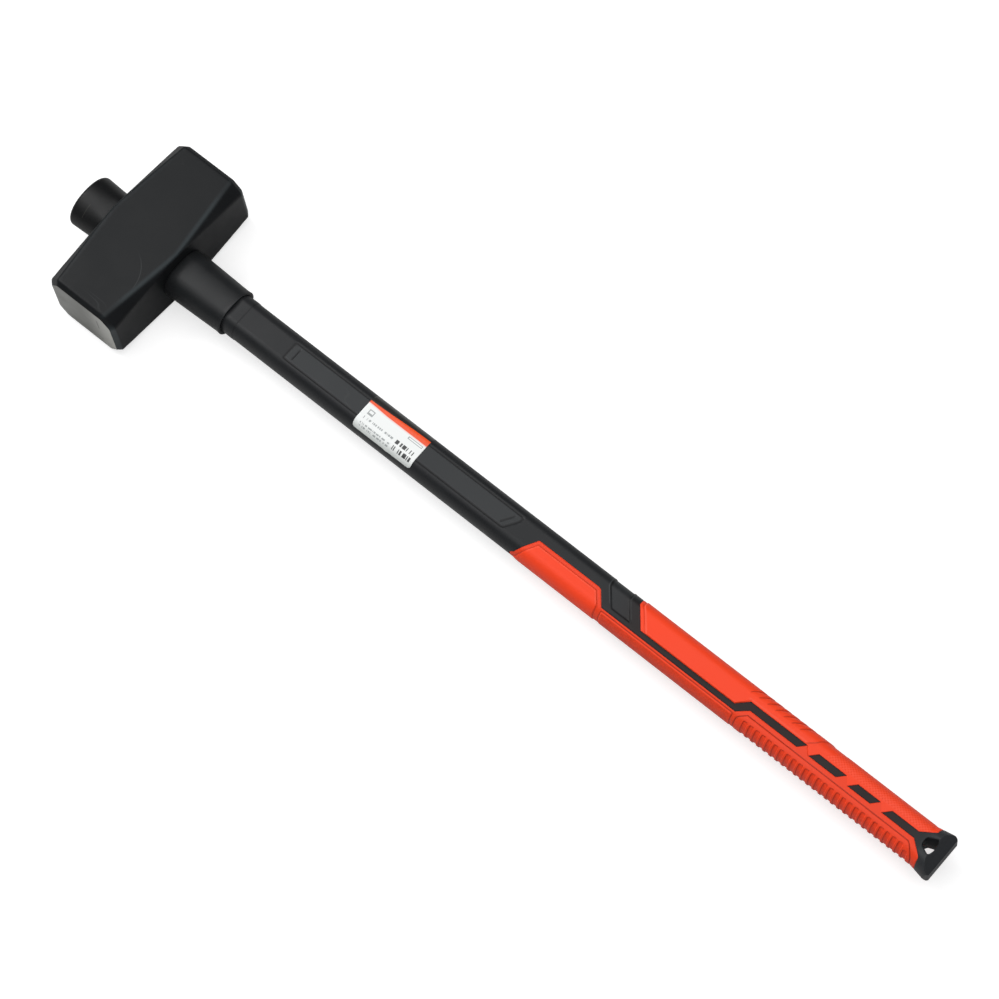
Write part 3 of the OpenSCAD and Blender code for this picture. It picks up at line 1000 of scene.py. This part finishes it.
def pale_floor(color, glow):
    """Plain pale floor with a faint tooth, lit evenly from below for the camera alone."""
    material, n, shader = new_material("pale floor", Roughness=0.9, Specular_IOR_Level=0.1)
    tooth = n.noise(object_place(n), 60.0, 3.0)
    n.feed(shader.inputs["Base Color"], n.mix(tooth, shade(color, 0.99), color))
    seen = n.tree.nodes.new("ShaderNodeLightPath").outputs["Is Camera Ray"]
    shader.inputs["Emission Color"].default_value = (1, 1, 1, 1)
    n.feed(shader.inputs["Emission Strength"], n.times(seen, glow))
    return material


# ---------------------------------------------------------------- the head

class HeadForm:
    """The head's outside, as a radius about its long axis.

    At each y the section is cut by the broad faces, the narrow faces and slanting chamfers. The
    radius at an angle is a soft minimum of the distances to those planes: the sum of each inverse
    distance to the power of the crispness, to the power of minus one over it.
    """

    def __init__(self, chamfer_width, chamfer_depth, crispness):
        self.half = (HEAD_HIGH - HEAD_LOW) / 2
        self.chamfer_width = chamfer_width
        self.crispness = crispness
        slope = math.hypot(chamfer_width, chamfer_depth)
        self.normal = (chamfer_depth / slope, chamfer_width / slope)

    def point(self, y, turn, inset=0.0, share=1.0):
        """Place at long place y and angle turn, with all planes moved in by inset."""
        y, turn, inset, share = np.broadcast_arrays(y, turn, inset, share)
        half_x, half_y, half_z = self.half
        run = np.sqrt(y * y + 36) / half_y
        to_x, to_z = np.abs(np.cos(turn)), np.abs(np.sin(turn))
        reach = (half_x * self.normal[0] + half_z * self.normal[1]
                 - run * self.chamfer_width * self.normal[0])
        total = (to_x / (half_x - inset)) ** self.crispness
        total = total + (to_z / (half_z - inset)) ** self.crispness
        to_chamfer = to_x * self.normal[0] + to_z * self.normal[1]
        total = total + (to_chamfer / (reach - inset)) ** self.crispness
        radius = total ** (-1 / self.crispness) * share
        return np.stack([radius * np.cos(turn), y, AXIS_Z + radius * np.sin(turn)], -1)


def head_stations(half_length, bevel, window):
    """Pairs (y, inset) along the head: rounded bevel, body, rounded bevel, with window kept exact."""
    edge = np.array([(0.0, bevel - 0.02), (0.06, bevel - 0.12), (0.25, bevel - 0.36), (1.0, bevel - 1.1),
                     (2.0, bevel - 2.1), (bevel - 0.7, 0.72), (bevel - 0.25, 0.34), (bevel + 0.3, 0.12),
                     (bevel + 1.1, 0.02), (bevel + 2.2, 0.0)])
    body = np.unique(np.concatenate([np.linspace(-window, window, 33),
                                     np.linspace(window, half_length - 7, 22),
                                     -np.linspace(window, half_length - 7, 22)]))
    start = np.stack([edge[:, 0] - half_length, edge[:, 1]], -1)
    end = np.stack([half_length - edge[::-1, 0], edge[::-1, 1]], -1)
    return np.concatenate([start, np.stack([body, body * 0], -1), end])


def section_at_angle(angle, swell):
    """Plan place y and height z where a ray at the given angle leaves the section, by a fine table."""
    v = np.linspace(-EDGE, EDGE, 1601)
    points = on_handle(0.0, v, swell=swell)
    y, z = points[:, 1], points[:, 2] - AXIS_Z
    table = np.arctan2(z, y)[::-1]
    folded = np.abs(angle)
    sign = np.where(angle < 0, -1.0, 1.0)
    return np.interp(folded, table, y[::-1]), sign * np.interp(folded, table, z[::-1])


def build_head(settings, color):
    """The forging with its tapered eye: a tube round the long axis, two rings round the eye's
    mouths, the eye's wall, and two ground faces."""
    form = HeadForm(settings.chamfer_width, settings.chamfer_depth, settings.crispness)
    half_x, half_y, _ = form.half
    window_y, window_z = 28.0, 23.5
    open_turn = math.atan(window_z / half_x)
    rows = head_stations(half_y, settings.face_bevel, window_y)
    side_turn = np.linspace(-open_turn, open_turn, 25)
    wrap = np.linspace(open_turn, math.pi - open_turn, 73)
    turns = np.concatenate([side_turn, wrap[1:], math.pi + side_turn[1:], math.pi + wrap[1:]])
    shell = form.point(rows[:, :1], turns[None, :], rows[:, 1:])
    first = int(np.argmin(np.abs(rows[:, 0] + window_y)))
    last = int(np.argmin(np.abs(rows[:, 0] - window_y)))
    cuts = np.cumsum([24, 72, 24, 72])
    patches = [(shell[:first + 1], None, 0), (shell[last:], None, 0),
               (shell[first:last + 1, cuts[0]:cuts[1] + 1], None, 0),
               (shell[first:last + 1, cuts[2]:cuts[3] + 1], None, 0)]
    mouths = []
    for facing in (1, -1):
        swell = float(jacket_swell(facing * half_x)) + 0.8
        side_y = rows[first:last + 1, 0]
        side_z = half_x * np.tan(side_turn)
        outer = np.concatenate([np.stack([side_y, side_y * 0 - window_z], -1),
                                np.stack([side_z[1:] * 0 + window_y, side_z[1:]], -1),
                                np.stack([side_y[::-1][1:], side_y[1:] * 0 + window_z], -1),
                                np.stack([side_z[1:] * 0 - window_y, side_z[::-1][1:]], -1)])
        inner_y, inner_z = section_at_angle(np.arctan2(outer[:, 1], outer[:, 0]), swell)
        inner = np.stack([inner_y, inner_z], -1)
        share = np.array([0.0, 0.3, 0.65, 0.9, 1.0])[:, None, None]
        ring = outer[None] * (1 - share) + inner[None] * share
        turn = np.arctan2(ring[..., 1], half_x)
        points = form.point(ring[..., 0], turn)
        points[..., 0] *= facing
        rim = points[-1:].copy()
        rim[..., 0] -= facing * 0.4
        points[-1:, :, 1:] += (points[-2:-1, :, 1:] - points[-1:, :, 1:]) * 0.25
        patches.append((np.concatenate([points, rim]), None, 0))
        mouths.append(rim[0])
    share = np.linspace(0, 1, 9)[:, None, None]
    patches.append((mouths[0][None] * (1 - share) + mouths[1][None] * share, None, 0))
    for end in (0, -1):
        face = form.point(rows[end, 0], turns[None, :], rows[end, 1], np.linspace(1, 0, 9)[:, None])
        patches.append((face, None, 1))
    paint = painted_steel(tuple(color))
    made = make_piece("forged_head", patches, [paint, ground_steel()], 50.0)
    return seat_piece(made, "forged_head", "head")


# ---------------------------------------------------------------- the handle

def hole_half_width(x):
    """Half width of the hanging hole: it widens evenly, and both ends are rounded off."""
    start, end = HOLE_START_X, HOLE_END_X
    width = 3.4 + 5.0 * (x - start) / (end - start)
    near = np.clip((x - start) / 2.2, 0, 1)
    far = np.clip((end - x) / 2.8, 0, 1)
    half_width = width * np.sqrt(near * (2 - near)) * np.sqrt(far * (2 - far))
    return np.where((x > start) & (x < end), half_width, 0.0)


def jacket_columns():
    """Triples (x, swell, scale) along the jacket: rod socket, rounded top, skin, closed end."""
    socket = [(TOP_X + 12, CORE_SWELL + 0.02, 1.0), (TOP_X + 0.3, CORE_SWELL + 0.02, 1.0),
              (TOP_X, CORE_SWELL + 0.4, 1.0)]
    angles = np.linspace(0, QUARTER, 8)
    rim = [(TOP_X + TOP_ROUND * (1 - math.sin(a)), TOP_SWELL - TOP_ROUND * (1 - math.cos(a)), 1.0)
           for a in angles[::-1]]
    exact = [x for x, _ in LOWER + UPPER] + [EYE_X, SLEEVE_END_X, HOLE_START_X, HOLE_END_X]
    spans = [(TOP_X + TOP_ROUND + 1, EYE_X, 9.0), (SLEEVE_END_X, COLLAR_END_X - 1, 2.0),
             (COLLAR_END_X - 1, COLLAR_END_X + 1.2, 0.2), (COLLAR_END_X + 2, COLLAR_END_X + 48, 12.0),
             (COLLAR_END_X + 48, COLLAR_END_X + 59, 0.4), (COLLAR_END_X + 60, TIP_X - 22, 12.0),
             (TIP_X - 21.5, TIP_X - 3, 0.45), (TIP_X - 3, TIP_X + 75, 1.3), (TIP_X + 75, TIP_X + 125, 0.5),
             (TIP_X + 125, JOG_X - 6, 2.0), (JOG_X - 6, JOG_X + 11, 0.6), (JOG_X + 11, LAST_DASH_X, 1.4),
             (LAST_DASH_X, HOLE_START_X, 0.8), (HOLE_START_X, HOLE_START_X + 2.2, 0.12),
             (HOLE_START_X + 2.2, HOLE_END_X - 2.8, 0.5), (HOLE_END_X - 2.8, HOLE_END_X, 0.12),
             (HOLE_END_X, BUTT_X - 0.4, 0.35), (LIP_X, LIP_X + 0.5, 0.08)]
    skin = [(x, float(jacket_swell(x)), 1.0) for x in stations(exact, spans)
            if TOP_X + TOP_ROUND < x < BUTT_X - 0.05]
    close = [(BUTT_X - 0.12, BUTT_SWELL, 1.0), (BUTT_X, BUTT_SWELL, 0.965), (BUTT_X, BUTT_SWELL, 0.5),
             (BUTT_X, BUTT_SWELL, 0.0)]
    return np.array(socket + rim + skin + close)


BAND = np.concatenate([np.linspace(0, 0.27, 7), np.linspace(0.285, 0.335, 6), np.linspace(0.35, 0.96, 15),
                       [0.985, 1.0]])


def build_jacket(settings):
    """The hard jacket as four grids that follow the seams: from the middle line to each seam, over
    the wall down to the grip's seat, and on to the edge, then back to the middle on the far side.
    Two more grids line the hanging hole."""
    columns = jacket_columns()
    x, swell, scale = (columns[:, i][:, None] for i in range(3))
    low, high = lower_bound(x), upper_bound(x)
    middle = (low + high) / 2 * (1 - smooth((x - COLLAR_X + 2) / 6))
    hole = hole_half_width(x)
    at_hole = hole > 0
    patches, rims = [], []
    for bound, sign in ((low, -1), (high, 1)):
        start = np.where(at_hole, sign * across(hole), middle)
        v = start + (bound - start) * BAND[None, :]
        # The tone is painted shade and highlight for the colour.
        lift, tone = jacket_relief(x, v)
        from_hole = np.abs(v - start)
        near_hole = smooth((x - BUTT_X + 20) / 1.0) * smooth((BUTT_X - 6.9 - x) / 1.0)
        lift = lift - 0.7 * near_hole * at_hole * (1 - smooth(from_hole / 1.1))
        width = np.abs(sign * EDGE - bound)
        depth = SEAT * smooth(width / 1.2)
        v_seat = bound + (sign * EDGE - bound) * np.array([[0.0, 0.5, 1.0]])
        v_all = np.concatenate([v, v_seat], 1)
        lift_all = np.concatenate([lift, -depth + 0 * v_seat], 1)
        tone_all = np.concatenate([tone, 0 * v_seat], 1)
        skin_only = (x <= TOP_X + TOP_ROUND + 0.5) | (x >= BUTT_X - 0.2)
        lift_all = np.where(skin_only, 0, lift_all)
        chart = np.stack(np.broadcast_arrays(x, v_all), -1)
        for side in (1, -1):
            grid = on_handle(x, v_all, lift_all, swell, scale, side)
            patches.append((grid, chart, 0, tone_all))
            if side == 1:
                rims.append(grid[:, 0])
    inner = np.flatnonzero(at_hole[:, 0])
    span = slice(inner[0] - 1, inner[-1] + 2)
    for rim in rims:
        top = rim[span]
        sign = np.sign(top[:, 1].sum())
        height = top[:, 2] - AXIS_Z
        share = np.linspace(1, -1, 13)[None, :]
        draft = 1.9 * (1 - np.abs(share)) ** 0.7 * smooth(np.abs(top[:, 1:2]) / 3)
        wall = np.stack(np.broadcast_arrays(top[:, :1], top[:, 1:2] - sign * draft,
                                            AXIS_Z + height[:, None] * share), -1)
        patches.append((wall, None, 0))
    body = hard_plastic(tuple(settings.jacket), tuple(settings.jacket_warm))
    return seat_piece(make_piece("moulded_jacket", patches, [body]), "hard_jacket", "handle_jacket")


def grip_patches(x, bound, sign, rows, relief_of):
    """A closed strip of soft grip that wraps one edge of the handle.

    Rows run from the seam over the edge to the seam on the far side, then down the wall and back
    along the seat. x holds the columns and bound the seam's chart place at each.
    """
    x = x[:, None]
    swell = jacket_swell(x)
    bound = bound[:, None]
    v = bound + (sign * EDGE - bound) * rows[None, :]
    # The tone is painted shade and highlight for the colour.
    lift, tone = relief_of(x, v)
    pinch = smooth(np.abs(sign * EDGE - bound) / 1.5)
    lift = lift * pinch - 0.1 * (1 - pinch)
    v_seat = bound + (sign * EDGE - bound) * np.linspace(0, 1, 6)[None, :]
    chart = np.stack(np.broadcast_arrays(x, v), -1)
    chart_seat = np.stack(np.broadcast_arrays(x, v_seat), -1)
    patches = []
    for side in (1, -1):
        outer = on_handle(x, v, lift, swell, 1.0, side)
        seat = on_handle(x, v_seat, -SEAT * pinch - 0.1 * (1 - pinch), swell, 1.0, side)
        patches.append((outer, chart, 0, tone))
        patches.append((seat, chart_seat, 0))
        patches.append((np.stack([outer[:, 0], seat[:, 0]], 1),
                        np.stack([chart[:, 0], chart_seat[:, 0]], 1), 0))
    return patches


def build_grip(settings):
    """Both bands of soft grip."""
    rubber = soft_rubber(tuple(settings.grip))
    low_start, low_end = LOWER[0][0], LOWER[-1][0]
    fine = stations([x for x, _ in LOWER], [(low_start, JOG_X, 1.0), (JOG_X, LIP_X, 0.36),
                                            (TIP_X + 84, TIP_X + 94, 0.45), (LIP_X, low_end, 0.06)])
    fine = fine[(fine >= low_start) & (fine <= low_end)]
    rows = np.concatenate([[0, 0.006, 0.014, 0.025, 0.04], np.linspace(0.06, 1, 50)])
    lower = grip_patches(fine, lower_bound(fine), -1, rows, lower_relief)
    up_start, up_end = UPPER[0][0], UPPER[-1][0]
    spans = [(up_start, JOG_X - 4, 1.0), (JOG_X - 4, STRIPE_END_X + 14, 0.5),
             (STRIPE_END_X + 14, LIP_X, 0.5), (LIP_X, up_end, 0.06), (up_start, up_start + 24, 0.5)]
    columns = stations([x for x, _ in UPPER], spans)
    columns = columns[(columns >= up_start) & (columns <= up_end)]
    rows = np.concatenate([[0, 0.008, 0.018, 0.032, 0.05], np.linspace(0.07, 1, 42)])
    upper = grip_patches(columns, upper_bound(columns), 1, rows, upper_relief)
    for name, patches in (("soft_grip_lower", lower), ("soft_grip_upper", upper)):
        seat_piece(make_piece(name, patches, [rubber]), "soft_grip", "grip")


def build_sleeve(settings):
    """The rubber sleeve and its low end rim, the resin ring in the eye, and the glass fibre rod."""
    start, end = EYE_X + 0.1, SLEEVE_END_X
    wall, rim = 4.8, 3.2
    profile = [(end - 0.5, 0.1), (start, NECK_SWELL + 0.1), (start, wall - 0.8), (start + 0.25, wall - 0.3),
               (start + 1.2, wall), (start + 12, wall - 0.25)]
    for x in (start + 24, start + 38):
        profile.append((x, float(np.interp(x, [start + 12, end - 4.4], [wall - 0.25, rim]))))
    profile += [(end - 4.4, rim), (end - 2.4, rim + 0.1), (end - 1.2, rim + 0.26), (end - 0.6, rim + 0.34),
                (end - 0.2, rim + 0.26), (end, rim), (end, 0.9), (end - 0.5, 0.1)]
    rubber = sleeve_rubber(tuple(settings.sleeve))
    seat_piece(make_piece("rubber_sleeve", ring_patch(profile, 96, 0.5), [rubber]),
               "sleeve_rubber", "neck_sleeve")
    top, low = -EYE_X + 0.7, EYE_X - 1.0
    inner = [float(jacket_swell(x)) + 0.06 for x in (top, low)]
    ring = [(top, inner[0]), (top - 0.15, inner[0] + 0.35), (top, inner[0] + 0.66), (low, inner[1] + 0.66),
            (low, inner[1]), (top, inner[0])]
    seat_piece(make_piece("eye_resin_ring", ring_patch(ring), [cured_resin(tuple(settings.resin))]),
               "resin", "eye_resin")
    seat_piece(rod_piece(sawn_fibre(tuple(settings.fibre))), "glass_fibre", "core_rod")


def rod_piece(material):
    """The rod: the core section carried along x, closed at both ends by shrinking it to a point."""
    v = across_all_round(60)[None, :]
    start, end, bevel = CORE_LOW[0], CORE_HIGH[0], 0.4
    x = np.array([start, start, start + bevel, end - bevel, end, end])[:, None]
    scale = np.array([0.0, 0.97, 1.0, 1.0, 0.97, 0.0])[:, None]
    front = on_handle(x, v, 0.0, CORE_SWELL - 0.05, scale)
    back = on_handle(x, v, 0.0, CORE_SWELL - 0.05, scale, -1)
    return make_piece("glass_fibre_rod", [(front, None, 0), (back, None, 0)], [material])


def build_label(settings):
    """The film label: one thin closed sheet on the chart with rounded lower corners."""
    start, end = LABEL_LOW[0], LABEL_HIGH[0]
    spans = [(start, start + 4, 0.25), (start + 4, end - 4, 1.5), (end - 4, end, 0.25)]
    x = stations([start, end], spans)[:, None]
    corner = 3.2
    from_end = np.clip(np.minimum(x - start, end - x), 0, corner)
    low = -19.6 + corner - np.sqrt(np.maximum(corner ** 2 - (corner - from_end) ** 2, 0))
    share = np.linspace(0, 1, 49)[None, :]
    v = low + (20.2 - low) * share
    ripple = 0.35 * bump((x - start - 36) / 2.2) * (1 - smooth(share / 0.16))
    rounding = smooth(np.minimum(share, 1 - share) / 0.02) * smooth(from_end / 0.6)
    outer = on_handle(x, v, 0.05 + 0.16 * rounding + ripple)
    inner = on_handle(x, v, 0.02 + ripple * 0.9)
    chart = np.stack(np.broadcast_arrays(x, v), -1)
    patches = [(outer, chart, 0), (inner, chart, 0)]
    for pick in ((slice(None), 0), (slice(None), -1), (0, slice(None)), (-1, slice(None))):
        patches.append((np.stack([outer[pick], inner[pick]]), np.stack([chart[pick], chart[pick]]), 0))
    film = label_film(tuple(settings.paper), tuple(settings.accent))
    seat_piece(make_piece("film_label", patches, [film]), "label_film", "label")


# ---------------------------------------------------------------- stage

def build_stage(settings):
    """Camera, pale floor, soft lights and a white surround."""
    scene = bpy.context.scene
    turn, rise, roll = settings.azimuth, settings.elevation, settings.roll
    back = Vector((math.sin(turn) * math.cos(rise), -math.cos(turn) * math.cos(rise), math.sin(rise)))
    level = Vector((math.cos(turn), math.sin(turn), 0))
    upright = back.cross(level)
    right = level * math.cos(roll) + upright * math.sin(roll)
    up = back.cross(right)
    camera = bpy.data.objects.new("camera", bpy.data.cameras.new("camera"))
    camera.data.lens = settings.lens
    camera.data.clip_end = 30
    pose = Matrix((right, up, back)).transposed().to_4x4()
    target = Vector(settings.target)
    pose.translation = target + back * settings.distance
    camera.matrix_world = pose
    scene.collection.objects.link(camera)
    scene.camera = camera
    floor_mesh = bpy.data.meshes.new("floor")
    reach = 9.0
    floor_mesh.from_pydata([(-reach, -reach, 0), (reach, -reach, 0), (reach, reach, 0), (-reach, reach, 0)],
                           [], [(0, 1, 2, 3)])
    floor_mesh.materials.append(pale_floor(tuple(settings.floor), settings.glow))
    floor = bpy.data.objects.new("floor", floor_mesh)
    scene.collection.objects.link(floor)
    for name, lean, away_by, size, power in (("overhead", (-0.10, 0.30, 1.0), 2.6, 4.2, settings.overhead),
                                             ("key", (-0.75, 0.85, 0.55), 2.2, 0.8, settings.key)):
        light = bpy.data.lights.new(name, "AREA")
        light.size = size
        light.energy = power
        lamp = bpy.data.objects.new(name, light)
        away = right * lean[0] + up * lean[1] + back * lean[2]
        spot = target + away.normalized() * away_by
        lamp.matrix_world = Matrix.Translation(spot) @ away.to_track_quat("Z", "Y").to_matrix().to_4x4()
        scene.collection.objects.link(lamp)
    world = bpy.data.worlds.new("surround")
    world.use_nodes = True
    world.node_tree.nodes["Background"].inputs["Color"].default_value = (0.97, 0.98, 1.0, 1)
    world.node_tree.nodes["Background"].inputs["Strength"].default_value = settings.surround
    scene.world = world
    scene.view_settings.view_transform = "Standard"


# ---------------------------------------------------------------- settings, operators and panel

def color_prop(name, description, default):
    """A colour property with the usual limits."""
    return bpy.props.FloatVectorProperty(name=name, description=description, default=default,
                                         subtype="COLOR", size=4, min=0.0, max=1.0)


class HammerHeadSettings(bpy.types.PropertyGroup):
    """Sizes of the forging, in millimetres."""

    chamfer_width: bpy.props.FloatProperty(
        name="Chamfer width",
        description="How much a corner chamfer takes from a broad face at the ends, in mm",
        default=10.0, min=2.0, max=14.0)
    chamfer_depth: bpy.props.FloatProperty(
        name="Chamfer depth",
        description="How much a corner chamfer takes from a narrow face at the ends, in mm",
        default=11.0, min=2.0, max=14.0)
    face_bevel: bpy.props.FloatProperty(
        name="Face bevel", description="Bevel round each striking face, in mm", default=3.6,
        min=1.0, max=6.0)
    crispness: bpy.props.FloatProperty(
        name="Crispness", description="How sharp the forging's long edges are", default=110.0,
        min=10.0, max=120.0)


class HammerFinishSettings(bpy.types.PropertyGroup):
    """Colours of the finishes."""

    paint: color_prop("Paint", "Satin paint of the forging", (0.0085, 0.0095, 0.0105, 1))
    jacket: color_prop("Jacket", "Hard plastic of the handle", (0.0125, 0.0135, 0.015, 1))
    jacket_warm: color_prop("Stripe", "Hard plastic between the bands of grip", (0.0115, 0.0045, 0.004, 1))
    grip: color_prop("Grip", "Soft overmoulding", (0.97, 0.058, 0.012, 1))
    sleeve: color_prop("Sleeve", "Rubber of the neck sleeve", (0.011, 0.012, 0.013, 1))
    resin: color_prop("Resin", "Bedding resin in the eye", (0.40, 0.31, 0.14, 1))
    fibre: color_prop("Fibre", "Sawn glass fibre", (0.58, 0.52, 0.30, 1))
    paper: color_prop("Film", "White of the label", (0.86, 0.88, 0.87, 1))
    accent: color_prop("Band", "Coloured band of the label", (0.88, 0.085, 0.015, 1))


class HammerStageSettings(bpy.types.PropertyGroup):
    """Camera and light."""

    floor: color_prop("Floor", "Pale floor", (0.60, 0.60, 0.60, 1))
    azimuth: bpy.props.FloatProperty(name="Azimuth", description="Camera's turn about the vertical",
                                     default=math.radians(50.575), subtype="ANGLE")
    elevation: bpy.props.FloatProperty(name="Elevation", description="Camera's height angle",
                                       default=math.radians(67.790), subtype="ANGLE")
    roll: bpy.props.FloatProperty(name="Roll", description="Camera's turn about its own axis",
                                  default=math.radians(-10.725), subtype="ANGLE")
    distance: bpy.props.FloatProperty(name="Distance", description="Camera to the handle", default=3.2,
                                      unit="LENGTH")
    target: bpy.props.FloatVectorProperty(name="Target", description="Point that the camera looks at",
                                          default=(0.3751, 0.0091, 0.0422), subtype="XYZ", unit="LENGTH")
    lens: bpy.props.FloatProperty(name="Lens", description="Focal length in mm", default=144.16)
    overhead: bpy.props.FloatProperty(name="Overhead light", description="Power of the wide soft light",
                                      default=88.0, unit="POWER")
    key: bpy.props.FloatProperty(name="Key light", description="Power of the slanting light", default=14.0,
                                 unit="POWER")
    surround: bpy.props.FloatProperty(name="Surround", description="Brightness of the surround",
                                      default=0.12)
    glow: bpy.props.FloatProperty(name="Floor glow", description="Even light of the floor", default=0.62)


class HAMMER_OT_stage(bpy.types.Operator):
    """Place the camera, the floor and the lights"""

    bl_idname = "hammer.stage"
    bl_label = "Stage"

    def execute(self, context):
        build_stage(context.scene.hammer_stage)
        return {"FINISHED"}


class HAMMER_OT_head(bpy.types.Operator):
    """Build the forged head with its eye and ground faces"""

    bl_idname = "hammer.head"
    bl_label = "Forged head"

    def execute(self, context):
        build_head(context.scene.hammer_head, context.scene.hammer_finish.paint)
        return {"FINISHED"}


class HAMMER_OT_jacket(bpy.types.Operator):
    """Build the hard moulded jacket with its panel, stripe and hanging hole"""

    bl_idname = "hammer.jacket"
    bl_label = "Hard jacket"

    def execute(self, context):
        build_jacket(context.scene.hammer_finish)
        return {"FINISHED"}


class HAMMER_OT_grip(bpy.types.Operator):
    """Build both bands of the soft grip"""

    bl_idname = "hammer.grip"
    bl_label = "Soft grip"

    def execute(self, context):
        build_grip(context.scene.hammer_finish)
        return {"FINISHED"}


class HAMMER_OT_sleeve(bpy.types.Operator):
    """Build the rubber sleeve, the resin ring and the glass fibre rod"""

    bl_idname = "hammer.sleeve"
    bl_label = "Sleeve, resin and rod"

    def execute(self, context):
        build_sleeve(context.scene.hammer_finish)
        return {"FINISHED"}


class HAMMER_OT_label(bpy.types.Operator):
    """Build the printed film label"""

    bl_idname = "hammer.label"
    bl_label = "Film label"

    def execute(self, context):
        build_label(context.scene.hammer_finish)
        return {"FINISHED"}


class HAMMER_PT_panel(bpy.types.Panel):
    """Lists the steps and their settings"""

    bl_idname = "HAMMER_PT_panel"
    bl_label = "Sledge hammer"
    bl_space_type = "VIEW_3D"
    bl_region_type = "UI"
    bl_category = "Sledge hammer"

    def draw(self, context):
        layout = self.layout
        for step in STEPS:
            layout.operator(step.bl_idname)
        for name in ("hammer_head", "hammer_finish", "hammer_stage"):
            settings = getattr(context.scene, name)
            box = layout.box()
            for key in settings.bl_rna.properties.keys():
                if key not in ("rna_type", "name"):
                    box.prop(settings, key)


STEPS = (HAMMER_OT_stage, HAMMER_OT_head, HAMMER_OT_jacket, HAMMER_OT_grip, HAMMER_OT_sleeve,
         HAMMER_OT_label)
SETTINGS = (("hammer_head", HammerHeadSettings), ("hammer_finish", HammerFinishSettings),
            ("hammer_stage", HammerStageSettings))


def register():
    """Registers the settings, the steps and the panel."""
    for name, kind in SETTINGS:
        bpy.utils.register_class(kind)
        setattr(bpy.types.Scene, name, bpy.props.PointerProperty(type=kind))
    for kind in STEPS + (HAMMER_PT_panel,):
        bpy.utils.register_class(kind)


def unregister():
    """Takes back what register did."""
    for kind in reversed(STEPS + (HAMMER_PT_panel,)):
        bpy.utils.unregister_class(kind)
    for name, kind in reversed(SETTINGS):
        delattr(bpy.types.Scene, name)
        bpy.utils.unregister_class(kind)


def main():
    register()
    bpy.ops.hammer.stage()
    bpy.ops.hammer.head()
    bpy.ops.hammer.jacket()
    bpy.ops.hammer.grip()
    bpy.ops.hammer.sleeve()
    bpy.ops.hammer.label()


if __name__ == "__main__":
    main()
